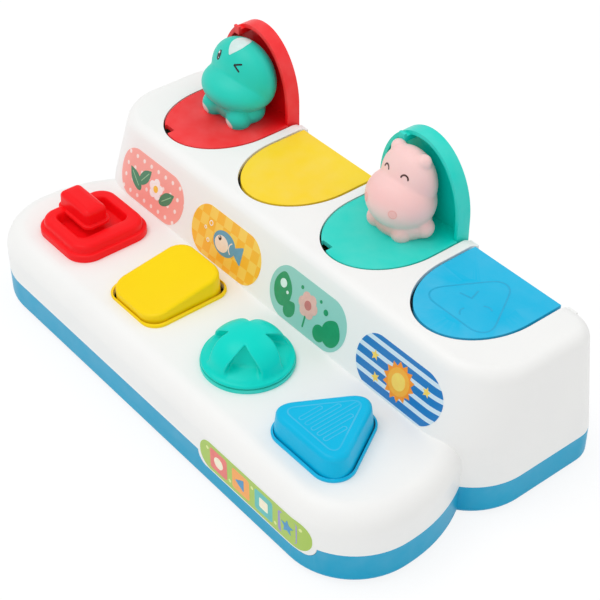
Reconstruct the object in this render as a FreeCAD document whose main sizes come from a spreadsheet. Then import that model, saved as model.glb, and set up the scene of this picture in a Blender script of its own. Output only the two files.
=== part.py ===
"""Pop up animal toy: a white two-level housing, four controls and four spring-driven animal rotors.

Units are millimetres, +Z is up, the controls face -Y and the origin is on the table under the middle.
"""
import FreeCAD, Part
import Sketcher
import math
import os

# Name, value, meaning. Every driving dimension of the toy is one row of the sheet.
SIZE_ROWS = [
    ("wall", 2.6, "thickness of the housing and base walls"),
    ("foot_high", 1.5, "height of the soft feet"),
    ("seam_high", 19.6, "height of the joint between base and housing"),
    ("deck_high", 43.4, "height of the control deck"),
    ("block_high", 81.0, "height of the rear block"),
    ("block_half_low", 154.8, "half length of the block at the joint"),
    ("block_half_mid", 152.9, "half length of the block at deck level"),
    ("block_half_top", 150.0, "half length of the block at its top"),
    ("block_front_low", -10.1, "front of the block at the joint"),
    ("block_front_mid", -7.6, "foot of the riser"),
    ("block_front_top", 4.8, "top of the riser"),
    ("block_back_low", 80.6, "back of the block at the joint"),
    ("block_back_mid", 79.0, "back of the block at deck level"),
    ("block_back_top", 76.4, "back of the block at its top"),
    ("block_corner_low", 36.0, "front corner radius at the joint"),
    ("block_corner_mid", 34.5, "front corner radius at deck level"),
    ("block_corner_top", 31.0, "front corner radius at the top"),
    ("block_corner_back", 14.4, "rear corner radius"),
    ("block_round", 7.4, "rounding of the block's top edge"),
    ("deck_half", 152.4, "half length of the deck"),
    ("deck_front", -80.6, "front of the deck"),
    ("deck_corner", 38.0, "front corner radius of the deck"),
    ("deck_shoulder", 76.0, "rear shoulder radius of the deck"),
    ("deck_back", 36.0, "hidden rear edge of the deck body"),
    ("deck_round", 12.0, "rounding of the deck's top edge"),
    ("base_round", 4.0, "rounding of the base's lower edge"),
    ("pitch", 66.0, "spacing of the four openings"),
    ("pivot_back", 68.15, "rotor axis behind the origin"),
    ("pivot_high", 73.35, "rotor axis above the table"),
    ("face_reach", 7.65, "rotor axis to the outer face of lid and platform"),
    ("lid_half", 28.7, "half width of a lid"),
    ("lid_tail", 3.75, "lid below the axis"),
    ("lid_straight", 21.4, "straight part of a lid"),
    ("lid_bow", 37.4, "bowed part of a lid"),
    ("lid_thick", 2.6, "lid thickness"),
    ("rim_deep", 8.0, "depth of the lid rim"),
    ("rim_thick", 2.2, "thickness of the lid rim"),
    ("plate_half", 29.2, "half width of a platform"),
    ("plate_bow", 38.0, "bowed part of a platform"),
    ("plate_thick", 2.5, "platform thickness"),
    ("opening_half", 30.2, "half width of an opening"),
    ("opening_bow", 38.9, "bowed part of an opening"),
    ("notch_low", 68.4, "lower edge of the notches in the back wall"),
    ("rib_front", 58.0, "front of the hinge ribs"),
    ("rib_back", 76.0, "back of the hinge ribs"),
    ("rib_low", 64.0, "underside of the hinge ribs"),
    ("pin_radius", 1.5, "radius of the rotor pins"),
    ("pin_half", 32.5, "half length of a rotor pin"),
    ("run_clear", 0.05, "radial clearance of a turning bore"),
    ("ear_radius", 4.0, "radius of the hinge ears"),
    ("ear_thick", 4.0, "thickness of the hinge ears"),
    ("catch_side", 9.7, "catch and latch left of an opening's middle"),
    ("catch_reach", 53.0, "reach of the catch lug"),
    ("latch_half", 5.0, "half width of a latch bar"),
    ("latch_low", 21.0, "underside of the latch bars"),
    ("latch_thick", 4.0, "thickness of the latch bars"),
    ("latch_front", -52.0, "front end of the latch bars"),
    ("arm_front", 8.6, "front of the hook arms"),
    ("arm_thick", 2.2, "thickness of the hook arms"),
    ("nose_low", 70.7, "underside of the hook noses"),
    ("nose_high", 2.0, "height of the hook noses"),
    ("nose_tip", 14.6, "tip of the hook noses"),
    ("label_half", 28.5, "half width of a riser label"),
    ("label_low", 44.0, "lower edge of the riser labels"),
    ("label_high", 26.4, "height of the riser labels"),
    ("label_corner", 13.0, "corner radius of the riser labels"),
    ("label_thick", 0.15, "thickness of a label"),
    ("tab_left", 46.0, "left end of the front tab"),
    ("tab_right", 130.0, "right end of the front tab"),
    ("tab_drop", 6.5, "how far the front tab dips below the joint"),
    ("tab_corner", 6.4, "corner radius of the front tab"),
    ("bezel_left", -124.5, "left side of the switch bezel"),
    ("bezel_right", -78.3, "right side of the switch bezel"),
    ("bezel_front", -63.9, "front of the switch bezel"),
    ("bezel_back", -15.6, "back of the switch bezel"),
    ("bezel_corner", 12.0, "corner radius of the switch bezel"),
    ("bezel_skirt", 3.7, "height of the bezel skirt"),
    ("bezel_high", 8.5, "height of the bezel rim"),
    ("bezel_step", 2.4, "step between skirt and rim"),
    ("knob_left", -125.5, "left end of the switch knob"),
    ("knob_long", 31.0, "length of the switch knob"),
    ("knob_wide", 12.5, "width of the switch knob"),
    ("knob_high", 15.6, "top of the knob above the deck"),
    ("knob_low", 6.7, "underside of the knob above the deck"),
    ("knob_mid", -39.9, "middle of the knob across its travel"),
    ("knob_travel", 12.0, "travel of the knob"),
    ("rocker_x", -34.35, "middle of the rocker"),
    ("rocker_y", -38.75, "rocker axis in front of the origin"),
    ("rocker_half", 18.85, "half width of the rocker"),
    ("rocker_long", 24.05, "half length of the rocker"),
    ("rocker_corner", 8.0, "corner radius of the rocker"),
    ("rocker_axis", 38.5, "height of the rocker axis"),
    ("rocker_front", 5.5, "front edge of the rocker above the deck"),
    ("rocker_back", 10.5, "back edge of the rocker above the deck"),
    ("rocker_flange", 2.3, "rocker to the outside of its flange"),
    ("rocker_gap", 0.8, "gap round the rocker"),
    ("dial_x", 33.0, "middle of the dial"),
    ("dial_y", -40.1, "middle of the dial in front of the origin"),
    ("dial_radius", 23.3, "radius of the dial's base ring"),
    ("dial_ring", 1.8, "height of the dial's base ring"),
    ("dial_flange", 5.0, "top of the dial's flange above the deck"),
    ("dome_radius", 17.2, "radius of the dial's dome"),
    ("dome_high", 19.5, "top of the dial above the deck"),
    ("pocket_half", 8.5, "half width of a dial pocket at its floor"),
    ("pocket_low", 12.0, "dial axis to the back of a pocket at its floor"),
    ("pocket_top", 3.6, "dial axis to the back of a pocket at its top"),
    ("shaft_radius", 5.0, "radius of the dial's shaft"),
    ("crank_throw", 3.2, "throw of the crank pin"),
    ("button_x", 98.7, "middle of the button"),
    ("button_y", -45.25, "middle of the button in front of the origin"),
    ("button_side", 61.4, "side of the button's triangle before rounding"),
    ("button_corner", 10.0, "corner radius of the button"),
    ("button_high", 13.0, "top of the button above the deck"),
    ("button_flange", 66.0, "side of the flange triangle"),
    ("button_gap", 0.35, "gap round the button"),
    ("post_radius", 4.0, "radius of the screw posts"),
    ("screw_radius", 1.4, "radius of the case screws"),
]

doc = FreeCAD.newDocument("PopUpToy")
sheet = doc.addObject("Spreadsheet::Sheet", "Sizes")
for index, (alias, number, meaning) in enumerate(SIZE_ROWS):
    row = index + 1
    sheet.set("A%d" % row, alias)
    sheet.set("B%d" % row, str(number))
    sheet.set("C%d" % row, meaning)
    sheet.setAlias("B%d" % row, alias)
doc.recompute()


class Size:
    """A number together with the sheet expression that gives it."""

    def __init__(self, value, text):
        self.value = value
        self.text = text

    def __add__(self, other):
        other = size(other)
        return Size(self.value + other.value, "(%s + %s)" % (self.text, other.text))

    def __radd__(self, other):
        return size(other) + self

    def __sub__(self, other):
        other = size(other)
        return Size(self.value - other.value, "(%s - %s)" % (self.text, other.text))

    def __rsub__(self, other):
        return size(other) - self

    def __mul__(self, other):
        other = size(other)
        return Size(self.value * other.value, "(%s * %s)" % (self.text, other.text))

    def __rmul__(self, other):
        return size(other) * self

    def __truediv__(self, other):
        other = size(other)
        return Size(self.value / other.value, "(%s / %s)" % (self.text, other.text))

    def __neg__(self):
        return Size(-self.value, "(0 - %s)" % self.text)


def size(number):
    """Return number as a Size."""
    if isinstance(number, Size):
        return number
    return Size(float(number), "(%.6f)" % number)


def s(alias):
    """Return the Size of one row of the sheet."""
    return Size(float(sheet.get(alias)), "Sizes.%s" % alias)


def bind(thing, prop, number):
    """Drive a property of a document object from the sheet."""
    number = size(number)
    thing.setExpression(prop, number.text)


def place(thing, x=0.0, y=0.0, z=0.0, axis=(0, 0, 1), angle=0.0):
    """Place a document object, its position driven from the sheet."""
    turn = FreeCAD.Rotation(FreeCAD.Vector(*axis), angle)
    spot = FreeCAD.Vector(size(x).value, size(y).value, size(z).value)
    thing.Placement = FreeCAD.Placement(spot, turn)
    for letter, number in (("x", x), ("y", y), ("z", z)):
        if isinstance(number, Size):
            bind(thing, "Placement.Base.%s" % letter, number)
    return thing


def box(name, x0, x1, y0, y1, z0, z1):
    """Make a box between two corners."""
    made = doc.addObject("Part::Box", name)
    bind(made, "Length", size(x1) - size(x0))
    bind(made, "Width", size(y1) - size(y0))
    bind(made, "Height", size(z1) - size(z0))
    return place(made, size(x0), size(y0), size(z0))


def rod(name, radius, length, x, y, z, axis=(0, 0, 1), angle=0.0):
    """Make a cylinder that starts at a point."""
    made = doc.addObject("Part::Cylinder", name)
    bind(made, "Radius", radius)
    bind(made, "Height", length)
    return place(made, x, y, z, axis, angle)


def rod_x(name, radius, length, x, y, z):
    """Make a cylinder along +X."""
    return rod(name, radius, length, x, y, z, (0, 1, 0), 90)


def blob(name, middle, radii, turn=0.0):
    """Make an ellipsoid with its radii along X, Y and Z, then turned about the vertical.

    Its own first axis points to the back, so that no seam lies where two of them meet.
    """
    made = doc.addObject("Part::Ellipsoid", name)
    bind(made, "Radius2", radii[1])
    bind(made, "Radius3", radii[0])
    bind(made, "Radius1", radii[2])
    return place(made, middle[0], middle[1], middle[2], (0, 0, 1), turn + 90)


def fuse(name, parts):
    """Join parts into one object."""
    made = doc.addObject("Part::MultiFuse", name)
    made.Shapes = parts
    return made


def chain(name, parts):
    """Join rounded parts one after another."""
    whole = parts[0]
    for number, part in enumerate(parts[1:]):
        whole = fuse("%s_%d" % (name, number), [whole, part])
    return whole


def cut(name, base, tool):
    """Take one object away from another."""
    made = doc.addObject("Part::Cut", name)
    made.Base = base
    made.Tool = tool
    return made


def common(name, base, tool):
    """Keep what two objects share."""
    made = doc.addObject("Part::Common", name)
    made.Base = base
    made.Tool = tool
    return made


def group(name, parts):
    """Keep separate pieces as one object."""
    made = doc.addObject("Part::Compound", name)
    made.Links = parts
    return made


def ball(name, middle, radius):
    """Make a sphere round a point."""
    made = doc.addObject("Part::Sphere", name)
    bind(made, "Radius", radius)
    return place(made, middle[0], middle[1], middle[2], (0, 0, 1), 90)


def plane_of(body, role):
    """Return one of a body's own origin planes."""
    for feature in body.Origin.OriginFeatures:
        if feature.Role == role:
            return feature
    raise ValueError("no plane %s" % role)


def belt_sketch(body, name, discs, level, role="XY_Plane"):
    """Draw the outline of a belt laid round discs, each disc's middle and radius driven.

    discs are (x, y, radius) in anticlockwise order and level is the height above the plane.
    """
    sketch = body.newObject("Sketcher::SketchObject", name)
    sketch.AttachmentSupport = [(plane_of(body, role), "")]
    sketch.MapMode = "FlatFace"
    bind(sketch, "AttachmentOffset.Base.z", level)
    count = len(discs)
    middles = [(size(d[0]).value, size(d[1]).value, size(d[2]).value) for d in discs]
    normals = []
    for i in range(count):
        ax, ay, ar = middles[i]
        bx, by, br = middles[(i + 1) % count]
        span = math.hypot(bx - ax, by - ay)
        lean = math.atan2(by - ay, bx - ax) - math.pi / 2 + math.asin((ar - br) / span) * 1.0
        normals.append(lean)
    for i in range(count):
        x, y, r = middles[i]
        start = normals[i - 1]
        end = normals[i]
        while end <= start:
            end += 2 * math.pi
        circle = Part.Circle(FreeCAD.Vector(x, y, 0), FreeCAD.Vector(0, 0, 1), r)
        sketch.addGeometry(Part.ArcOfCircle(circle, start, end), False)
    for i in range(count):
        ax, ay, ar = middles[i]
        bx, by, br = middles[(i + 1) % count]
        lean = normals[i]
        first = FreeCAD.Vector(ax + ar * math.cos(lean), ay + ar * math.sin(lean), 0)
        second = FreeCAD.Vector(bx + br * math.cos(lean), by + br * math.sin(lean), 0)
        sketch.addGeometry(Part.LineSegment(first, second), False)
    rules = []
    driven = []
    for i in range(count):
        line = count + i
        after = (i + 1) % count
        rules.append(Sketcher.Constraint("Tangent", i, 2, line, 1))
        rules.append(Sketcher.Constraint("Tangent", line, 2, after, 1))
    for i in range(count):
        x, y, r = middles[i]
        driven.append((len(rules), discs[i][0]))
        rules.append(Sketcher.Constraint("DistanceX", -1, 1, i, 3, x))
        driven.append((len(rules), discs[i][1]))
        rules.append(Sketcher.Constraint("DistanceY", -1, 1, i, 3, y))
        driven.append((len(rules), discs[i][2]))
        rules.append(Sketcher.Constraint("Radius", i, r))
    sketch.addConstraint(rules)
    for place_in_list, number in driven:
        if isinstance(number, Size):
            bind(sketch, "Constraints[%d]" % place_in_list, number)
    return sketch


def level_edges(shape, height, tolerance=0.02):
    """Name the edges that lie flat at one height."""
    names = []
    for number, edge in enumerate(shape.Edges):
        bounds = edge.BoundBox
        if abs(bounds.ZMin - height) < tolerance and abs(bounds.ZMax - height) < tolerance:
            names.append("Edge%d" % (number + 1))
    return names


def round_edges(body, base, name, height, radius):
    """Fillet the edges of a body feature that lie at one height."""
    doc.recompute()
    fillet = body.newObject("PartDesign::Fillet", name)
    fillet.Base = (base, level_edges(base.Shape, size(height).value))
    bind(fillet, "Radius", radius)
    return fillet


def prism(name, discs, low, high, round_top=None, round_low=None, role="XY_Plane"):
    """Pad a belt outline between two heights, with optional rounded ends."""
    body = doc.addObject("PartDesign::Body", name)
    sketch = belt_sketch(body, name + "_outline", discs, low, role)
    pad = body.newObject("PartDesign::Pad", name + "_pad")
    pad.Profile = sketch
    bind(pad, "Length", size(high) - size(low))
    last = pad
    if round_top is not None:
        last = round_edges(body, last, name + "_round", high, round_top)
    if round_low is not None:
        last = round_edges(body, last, name + "_round_low", low, round_low)
    body.Tip = last
    return body


def rounded_rectangle(x0, x1, y0, y1, radius):
    """List the corner discs of a rounded rectangle."""
    return [
        (x1 - radius, y0 + radius, radius),
        (x1 - radius, y1 - radius, radius),
        (x0 + radius, y1 - radius, radius),
        (x0 + radius, y0 + radius, radius),
    ]


def rounded_triangle(x, y, side, radius):
    """List the corner discs of an upright triangle with its apex to the back."""
    reach = (side * (1 / math.sqrt(3.0))) - (radius * 2)
    return [
        (x + reach * math.cos(math.radians(-30)), y - reach * 0.5, radius),
        (x, y + reach, radius),
        (x - reach * math.cos(math.radians(-30)), y - reach * 0.5, radius),
    ]


def stadium(x0, y0, x1, y1, radius):
    """List the end discs of a slot."""
    return [(size(x0), size(y0), size(radius)), (size(x1), size(y1), size(radius))]


# --------------------------------------------------------------------------------------------
# Housing outlines
# --------------------------------------------------------------------------------------------
def block_discs(half, front, back, corner, inset):
    """List the corner discs of the block's outline, shrunk by inset."""
    rear = s("block_corner_back")
    return [
        (half - corner, front + corner, corner - inset),
        (half - rear, back - rear, rear - inset),
        (rear - half, back - rear, rear - inset),
        (corner - half, front + corner, corner - inset),
    ]


def deck_discs(inset):
    """List the corner discs of the deck's outline, shrunk by inset."""
    half = s("deck_half")
    corner = s("deck_corner")
    shoulder = s("deck_shoulder")
    return [
        (half - corner, s("deck_front") + corner, corner - inset),
        (half - shoulder, s("deck_back") - shoulder, shoulder - inset),
        (shoulder - half, s("deck_back") - shoulder, shoulder - inset),
        (corner - half, s("deck_front") + corner, corner - inset),
    ]


def mix(low, high, share):
    """Blend two sizes."""
    return low + (high - low) * share


def block_outline(level, inset):
    """List the discs of the block's outline on its straight walls at a level above the deck."""
    share = (level - s("deck_high")) / (s("block_high") - s("deck_high"))
    return block_discs(mix(s("block_half_mid"), s("block_half_top"), share),
                       mix(s("block_front_mid"), s("block_front_top"), share),
                       mix(s("block_back_mid"), s("block_back_top"), share),
                       mix(s("block_corner_mid"), s("block_corner_top"), share), inset)


def rounded_outline(angle):
    """List the discs of the block's outline part of the way up its rounded top edge."""
    bend = s("block_round")
    side = bend * (math.tan(math.radians(42.8)) - math.cos(math.radians(angle)))
    front = bend * (math.tan(math.radians(35.85)) - math.cos(math.radians(angle)))
    half = s("block_half_top") - side
    back = s("block_back_top") - side
    corner = s("block_corner_top") - side
    rear = s("block_corner_back") - side
    fore = s("block_front_top") + front
    return [
        (half - corner, fore + corner, corner), (half - rear, back - rear, rear),
        (rear - half, back - rear, rear), (corner - half, fore + corner, corner),
    ]


def block_walls(name, inset, foot, levels):
    """Loft the block's straight walls from its foot over deck level to further levels."""
    low = block_discs(s("block_half_low"), s("block_front_low"), s("block_back_low"),
                      s("block_corner_low"), inset)
    body = doc.addObject("PartDesign::Body", name)
    first = belt_sketch(body, name + "_low", low, foot)
    rest = [belt_sketch(body, name + "_mid", block_outline(s("deck_high"), inset), s("deck_high"))]
    for number, (level, more) in enumerate(levels):
        rest.append(belt_sketch(body, "%s_level_%d" % (name, number), block_outline(level, inset + more),
                                level))
    loft = body.newObject("PartDesign::AdditiveLoft", name + "_loft")
    loft.Profile = first
    loft.Sections = rest
    loft.Ruled = True
    body.Tip = loft
    return body


def block_crown(name, start):
    """Loft the rounded top of the block from its straight walls to the flat roof."""
    body = doc.addObject("PartDesign::Body", name)
    first = belt_sketch(body, name + "_start", block_outline(start, 0.0), start)
    rest = []
    for angle in (18.3, 32.0, 46.0, 60.0, 75.0, 90.0):
        level = s("block_high") - s("block_round") * (1 - math.sin(math.radians(angle)))
        rest.append(belt_sketch(body, "%s_%d" % (name, round(angle)), rounded_outline(angle), level))
    loft = body.newObject("PartDesign::AdditiveLoft", name + "_loft")
    loft.Profile = first
    loft.Sections = rest
    loft.Ruled = False
    body.Tip = loft
    return body


nothing = size(0.0)
wall = s("wall")
seam = s("seam_high")
deck_high = s("deck_high")
block_high = s("block_high")

crown_low = block_high - s("block_round") * (1 - math.sin(math.radians(4.4)))
block_outer = block_walls("block_outer", nothing, seam, [(crown_low, nothing)])
block_top = block_crown("block_top", crown_low)
block_inner = block_walls("block_inner", wall, seam - 1,
                          [(block_high - wall * 2.2, nothing), (block_high - wall, wall * 1.1)])
deck_outer = prism("deck_outer", deck_discs(nothing), seam, deck_high, s("deck_round"))
deck_inner = prism("deck_inner", deck_discs(wall), seam - 1, deck_high - wall, s("deck_round") - wall)
housing_outer = fuse("housing_outer", [block_outer, block_top, deck_outer])
housing_inner = fuse("housing_inner", [block_inner, deck_inner])
housing_shell = cut("housing_shell", housing_outer, housing_inner)

# Front tab: a short apron of the housing that dips into the base.
tab_window = prism(
    "tab_window",
    rounded_rectangle(s("tab_left"), s("tab_right"), seam - s("tab_drop"), seam + 12, s("tab_corner")),
    s("deck_front") * -1 - 16, s("deck_front") * -1 + 4, None, None, "XZ_Plane")
tab_notch = prism(
    "tab_notch",
    rounded_rectangle(s("tab_left") - 0.2, s("tab_right") + 0.2, seam - s("tab_drop") - 0.2, seam + 12,
                      s("tab_corner") + 0.2),
    s("deck_front") * -1 - 16, s("deck_front") * -1 + 4, None, None, "XZ_Plane")
tab_ring = cut("tab_ring",
               prism("tab_ring_out", deck_discs(nothing), seam - s("tab_drop") - 1, seam + 1),
               prism("tab_ring_in", deck_discs(wall), seam - s("tab_drop") - 2, seam + 2))
tab = common("tab", tab_ring, tab_window)

# Hinge ribs between and beside the openings.
ribs = []
for i in range(5):
    middle = s("pitch") * (i - 2)
    half_rib = s("pitch") * 0.5 - s("opening_half")
    ribs.append(box("rib_%d" % i, middle - half_rib, middle + half_rib, s("rib_front"), s("rib_back"),
                    s("rib_low"), block_high - wall + 0.5))

# Screw posts: (x, y, under the deck?)
POSTS = [
    (-66.0, 30.0, False), (66.0, 30.0, False), (-139.5, 35.0, False), (139.5, 35.0, False),
    (-138.0, -34.0, True), (-1.8, -52.0, True), (138.0, -34.0, True),
]
post_foot = seam - 2.4
bosses = []
boss_holes = []
for i, (x, y, low) in enumerate(POSTS):
    top = deck_high - wall + 0.5 if low else block_high - wall + 0.5
    bosses.append(rod("boss_%d" % i, s("post_radius"), top - post_foot, x, y, post_foot))
    boss_holes.append(rod("boss_hole_%d" % i, s("screw_radius"), 11, x, y, post_foot - 0.5))

# Lugs under the deck that carry the rocker's pin.
rocker_x = s("rocker_x")
rocker_y = s("rocker_y")
rocker_half = s("rocker_half")
gap = s("rocker_gap")
lug_in = rocker_half + gap + 0.4
rocker_lugs = []
for side in (-1, 1):
    a = rocker_x + lug_in * side
    b = rocker_x + (lug_in + 3.2) * side
    lo, hi = (a, b) if side > 0 else (b, a)
    rocker_lugs.append(box("rocker_lug_%d" % (side + 1), lo, hi, rocker_y - 3.4, rocker_y + 3.4,
                           s("rocker_axis") - 3.2, deck_high - wall + 0.5))

housing_full = fuse("housing_full", [housing_shell, tab] + ribs + bosses + rocker_lugs)

# Openings in the top: D-shaped, running out through the back wall.
NOTCH_START = 4.0
pivot_back = s("pivot_back")
pivot_high = s("pivot_high")
bow_start = s("lid_straight") - s("lid_tail")


def bowed_plate(name, half, start, bow_from, bow, low, high):
    """Make a D-shaped plate: straight from start to bow_from along +Y, then a half ellipse."""
    straight = box(name + "_straight", -half, half, start, bow_from, low, high)
    front = box(name + "_front", -half, half, bow_from, bow_from + bow, low, high)
    curve = doc.addObject("Part::Ellipse", name + "_curve")
    bind(curve, "MajorRadius", bow)
    bind(curve, "MinorRadius", half)
    curve.Placement = FreeCAD.Placement(
        FreeCAD.Vector(0, size(bow_from).value, size(low).value),
        FreeCAD.Rotation(FreeCAD.Vector(0, 0, 1), 90))
    bind(curve, "Placement.Base.y", bow_from)
    bind(curve, "Placement.Base.z", low)
    bowed = doc.addObject("Part::Extrusion", name + "_bowed")
    bowed.Base = curve
    bowed.DirMode = "Custom"
    bowed.Dir = FreeCAD.Vector(0, 0, 1)
    bind(bowed, "LengthFwd", size(high) - size(low))
    bowed.Solid = True
    return fuse(name, [straight, common(name + "_half", bowed, front)])


cutters = list(boss_holes)
for i in range(4):
    cx = s("pitch") * (i - 1.5)
    hole = bowed_plate("opening_%d" % i, s("opening_half"), -12.0, bow_start, s("opening_bow"),
                       block_high - wall - 1.5, block_high + 2)
    place(hole, cx, pivot_back, 0.0, (0, 0, 1), 180)
    cutters.append(hole)
    cutters.append(box("back_notch_%d" % i, cx - s("opening_half"), cx + s("opening_half"),
                       pivot_back + NOTCH_START, s("block_back_low") + 6, s("notch_low"),
                       block_high + 1))
for i in range(4):
    cx = s("pitch") * (i - 1.5)
    cutters.append(rod_x("pin_bore_%d" % i, s("pin_radius"), s("pin_half") * 2, cx - s("pin_half"),
                         pivot_back, pivot_high))

# Holes in the deck for the four controls.
knob_mid = s("knob_mid")
knob_x = s("knob_left") + s("knob_long") * 0.5
slot_left = knob_x - 4.5
slot_right = knob_x + s("knob_travel") + 4.5
under = deck_high - wall - 1
over = deck_high + 1
cutters.append(box("deck_slot", slot_left, slot_right, knob_mid - 3.1, knob_mid + 3.1, under, over))
cutters.append(prism(
    "rocker_hole",
    rounded_rectangle(rocker_x - rocker_half - gap, rocker_x + rocker_half + gap,
                      rocker_y - s("rocker_long") - gap, rocker_y + s("rocker_long") + gap,
                      s("rocker_corner") + gap), under, over))
dial_x = s("dial_x")
dial_y = s("dial_y")
cutters.append(rod("shaft_hole", s("shaft_radius") + s("run_clear"), wall + 2, dial_x, dial_y, under))
button_x = s("button_x")
button_y = s("button_y")
hole_side = s("button_side") + s("button_gap") * 3.4641
hole_corner = s("button_corner") + s("button_gap")
cutters.append(prism("button_hole", rounded_triangle(button_x, button_y, hole_side, hole_corner),
                     under, over))
cutters.append(rod_x("rocker_bore", s("pin_radius"), lug_in * 2 + 7, rocker_x - lug_in - 3.5,
                     rocker_y, s("rocker_axis")))
housing_cuts = fuse("housing_cuts", cutters)
housing = cut("housing", housing_full, housing_cuts)

# --------------------------------------------------------------------------------------------
# Base shell with posts, latch channels and spring stops
# --------------------------------------------------------------------------------------------
base_low = s("foot_high")
floor_top = base_low + wall
base_block = prism(
    "base_block",
    block_discs(s("block_half_low"), s("block_front_low"), s("block_back_low"), s("block_corner_low"),
                nothing), base_low, seam, None, s("base_round"))
base_deck = prism("base_deck", deck_discs(nothing), base_low, seam, None, s("base_round"))
base_block_in = prism(
    "base_block_in",
    block_discs(s("block_half_low"), s("block_front_low"), s("block_back_low"), s("block_corner_low"),
                wall), floor_top, seam + 1)
base_deck_in = prism("base_deck_in", deck_discs(wall), floor_top, seam + 1)
base_tray = cut("base_tray", fuse("base_out", [base_block, base_deck]),
                fuse("base_in", [base_block_in, base_deck_in]))

base_adds = [base_tray]
base_cuts = [tab_notch]
for i, (x, y, low) in enumerate(POSTS):
    base_adds.append(rod("post_%d" % i, s("post_radius"), post_foot - base_low - 0.6, x, y,
                         base_low + 0.4))
    base_cuts.append(rod("post_hole_%d" % i, s("screw_radius") + 0.3, 22, x, y, base_low - 2))
    base_cuts.append(rod("post_sink_%d" % i, s("screw_radius") * 2 + 0.3, 7.5, x, y, base_low - 1))

latch_low = s("latch_low")
latch_top = latch_low + s("latch_thick")
latch_half = s("latch_half")
latch_x = [s("pitch") * (i - 1.5) - s("catch_side") for i in range(4)]
RAIL_FRONT = -30.0
RAIL_BACK = 2.0
RAIL_WALL = 2.0
CHANNEL_GAP = 0.3
STOP_FRONT = -69.0
STOP_BACK = -66.0
COVER_FRONT = -19.0
COVER_MIDDLE = -15.0
COVER_BACK = -11.0
COVER_THICK = 2.5
COVER_POST = 3.4
COVER_BORE = 1.1
for i in range(4):
    x = latch_x[i]
    base_adds.append(box("rail_%d" % i, x - latch_half - RAIL_WALL, x + latch_half + RAIL_WALL,
                         RAIL_FRONT, RAIL_BACK,
                         floor_top - 0.3, latch_top + 0.2))
    base_cuts.append(box("channel_%d" % i, x - latch_half - CHANNEL_GAP, x + latch_half + CHANNEL_GAP,
                         RAIL_FRONT - 1, RAIL_BACK + 1, latch_low - 0.2, latch_top + 3))
    base_adds.append(box("stop_%d" % i, x - latch_half, x + latch_half, STOP_FRONT, STOP_BACK,
                         floor_top - 0.3, latch_top))
COVER_POSTS = [-75.7, -9.7, 56.3]
for i, x in enumerate(COVER_POSTS):
    base_adds.append(rod("cover_post_%d" % i, COVER_POST, latch_top + 0.5 - floor_top, x, COVER_MIDDLE,
                         floor_top - 0.3))
    base_cuts.append(rod("cover_hole_%d" % i, COVER_BORE, 10, x, COVER_MIDDLE, latch_top + 0.2 - 9))
spring_x = button_x + 5.3
SPRING_SEAT = 26.0
base_adds.append(rod("button_post", COVER_POST, SPRING_SEAT - floor_top + 0.3, spring_x, button_y,
                     floor_top - 0.3))
base_shell = cut("base_shell", fuse("base_full", base_adds), fuse("base_cutters", base_cuts))

FOOT_RADIUS = 9.0
FOOT_SPOTS = [(-112, -52), (112, -52), (-126, 56), (126, 56)]
feet = group("feet", [
    rod("foot_%d" % i, FOOT_RADIUS, base_low, x, y, 0.0) for i, (x, y) in enumerate(FOOT_SPOTS)])

screw_parts = []
for i, (x, y, low) in enumerate(POSTS):
    head_low = base_low + 4.3
    head = rod("screw_head_%d" % i, s("screw_radius") * 2, 2.2, x, y, head_low)
    shank = rod("screw_shank_%d" % i, s("screw_radius"), 19.0 - head_low + 6.5, x, y, head_low + 1)
    socket = box("screw_socket_%d" % i, x - 2.0, x + 2.0, y - 0.35, y + 0.35, head_low - 1, head_low + 0.8)
    screw_parts.append(cut("screw_%d" % i, fuse("screw_solid_%d" % i, [head, shank]), socket))
screws = group("screws", screw_parts)

# --------------------------------------------------------------------------------------------
# Rotors, built standing open round their own axis and then placed
# --------------------------------------------------------------------------------------------
face = s("face_reach")
lid_half = s("lid_half")
lid_thick = s("lid_thick")
rim_thick = s("rim_thick")
ROTORS = [("red", 0), ("yellow", 1), ("teal", 2), ("blue", 3)]
CLOSED = ("yellow", "blue")


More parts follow.
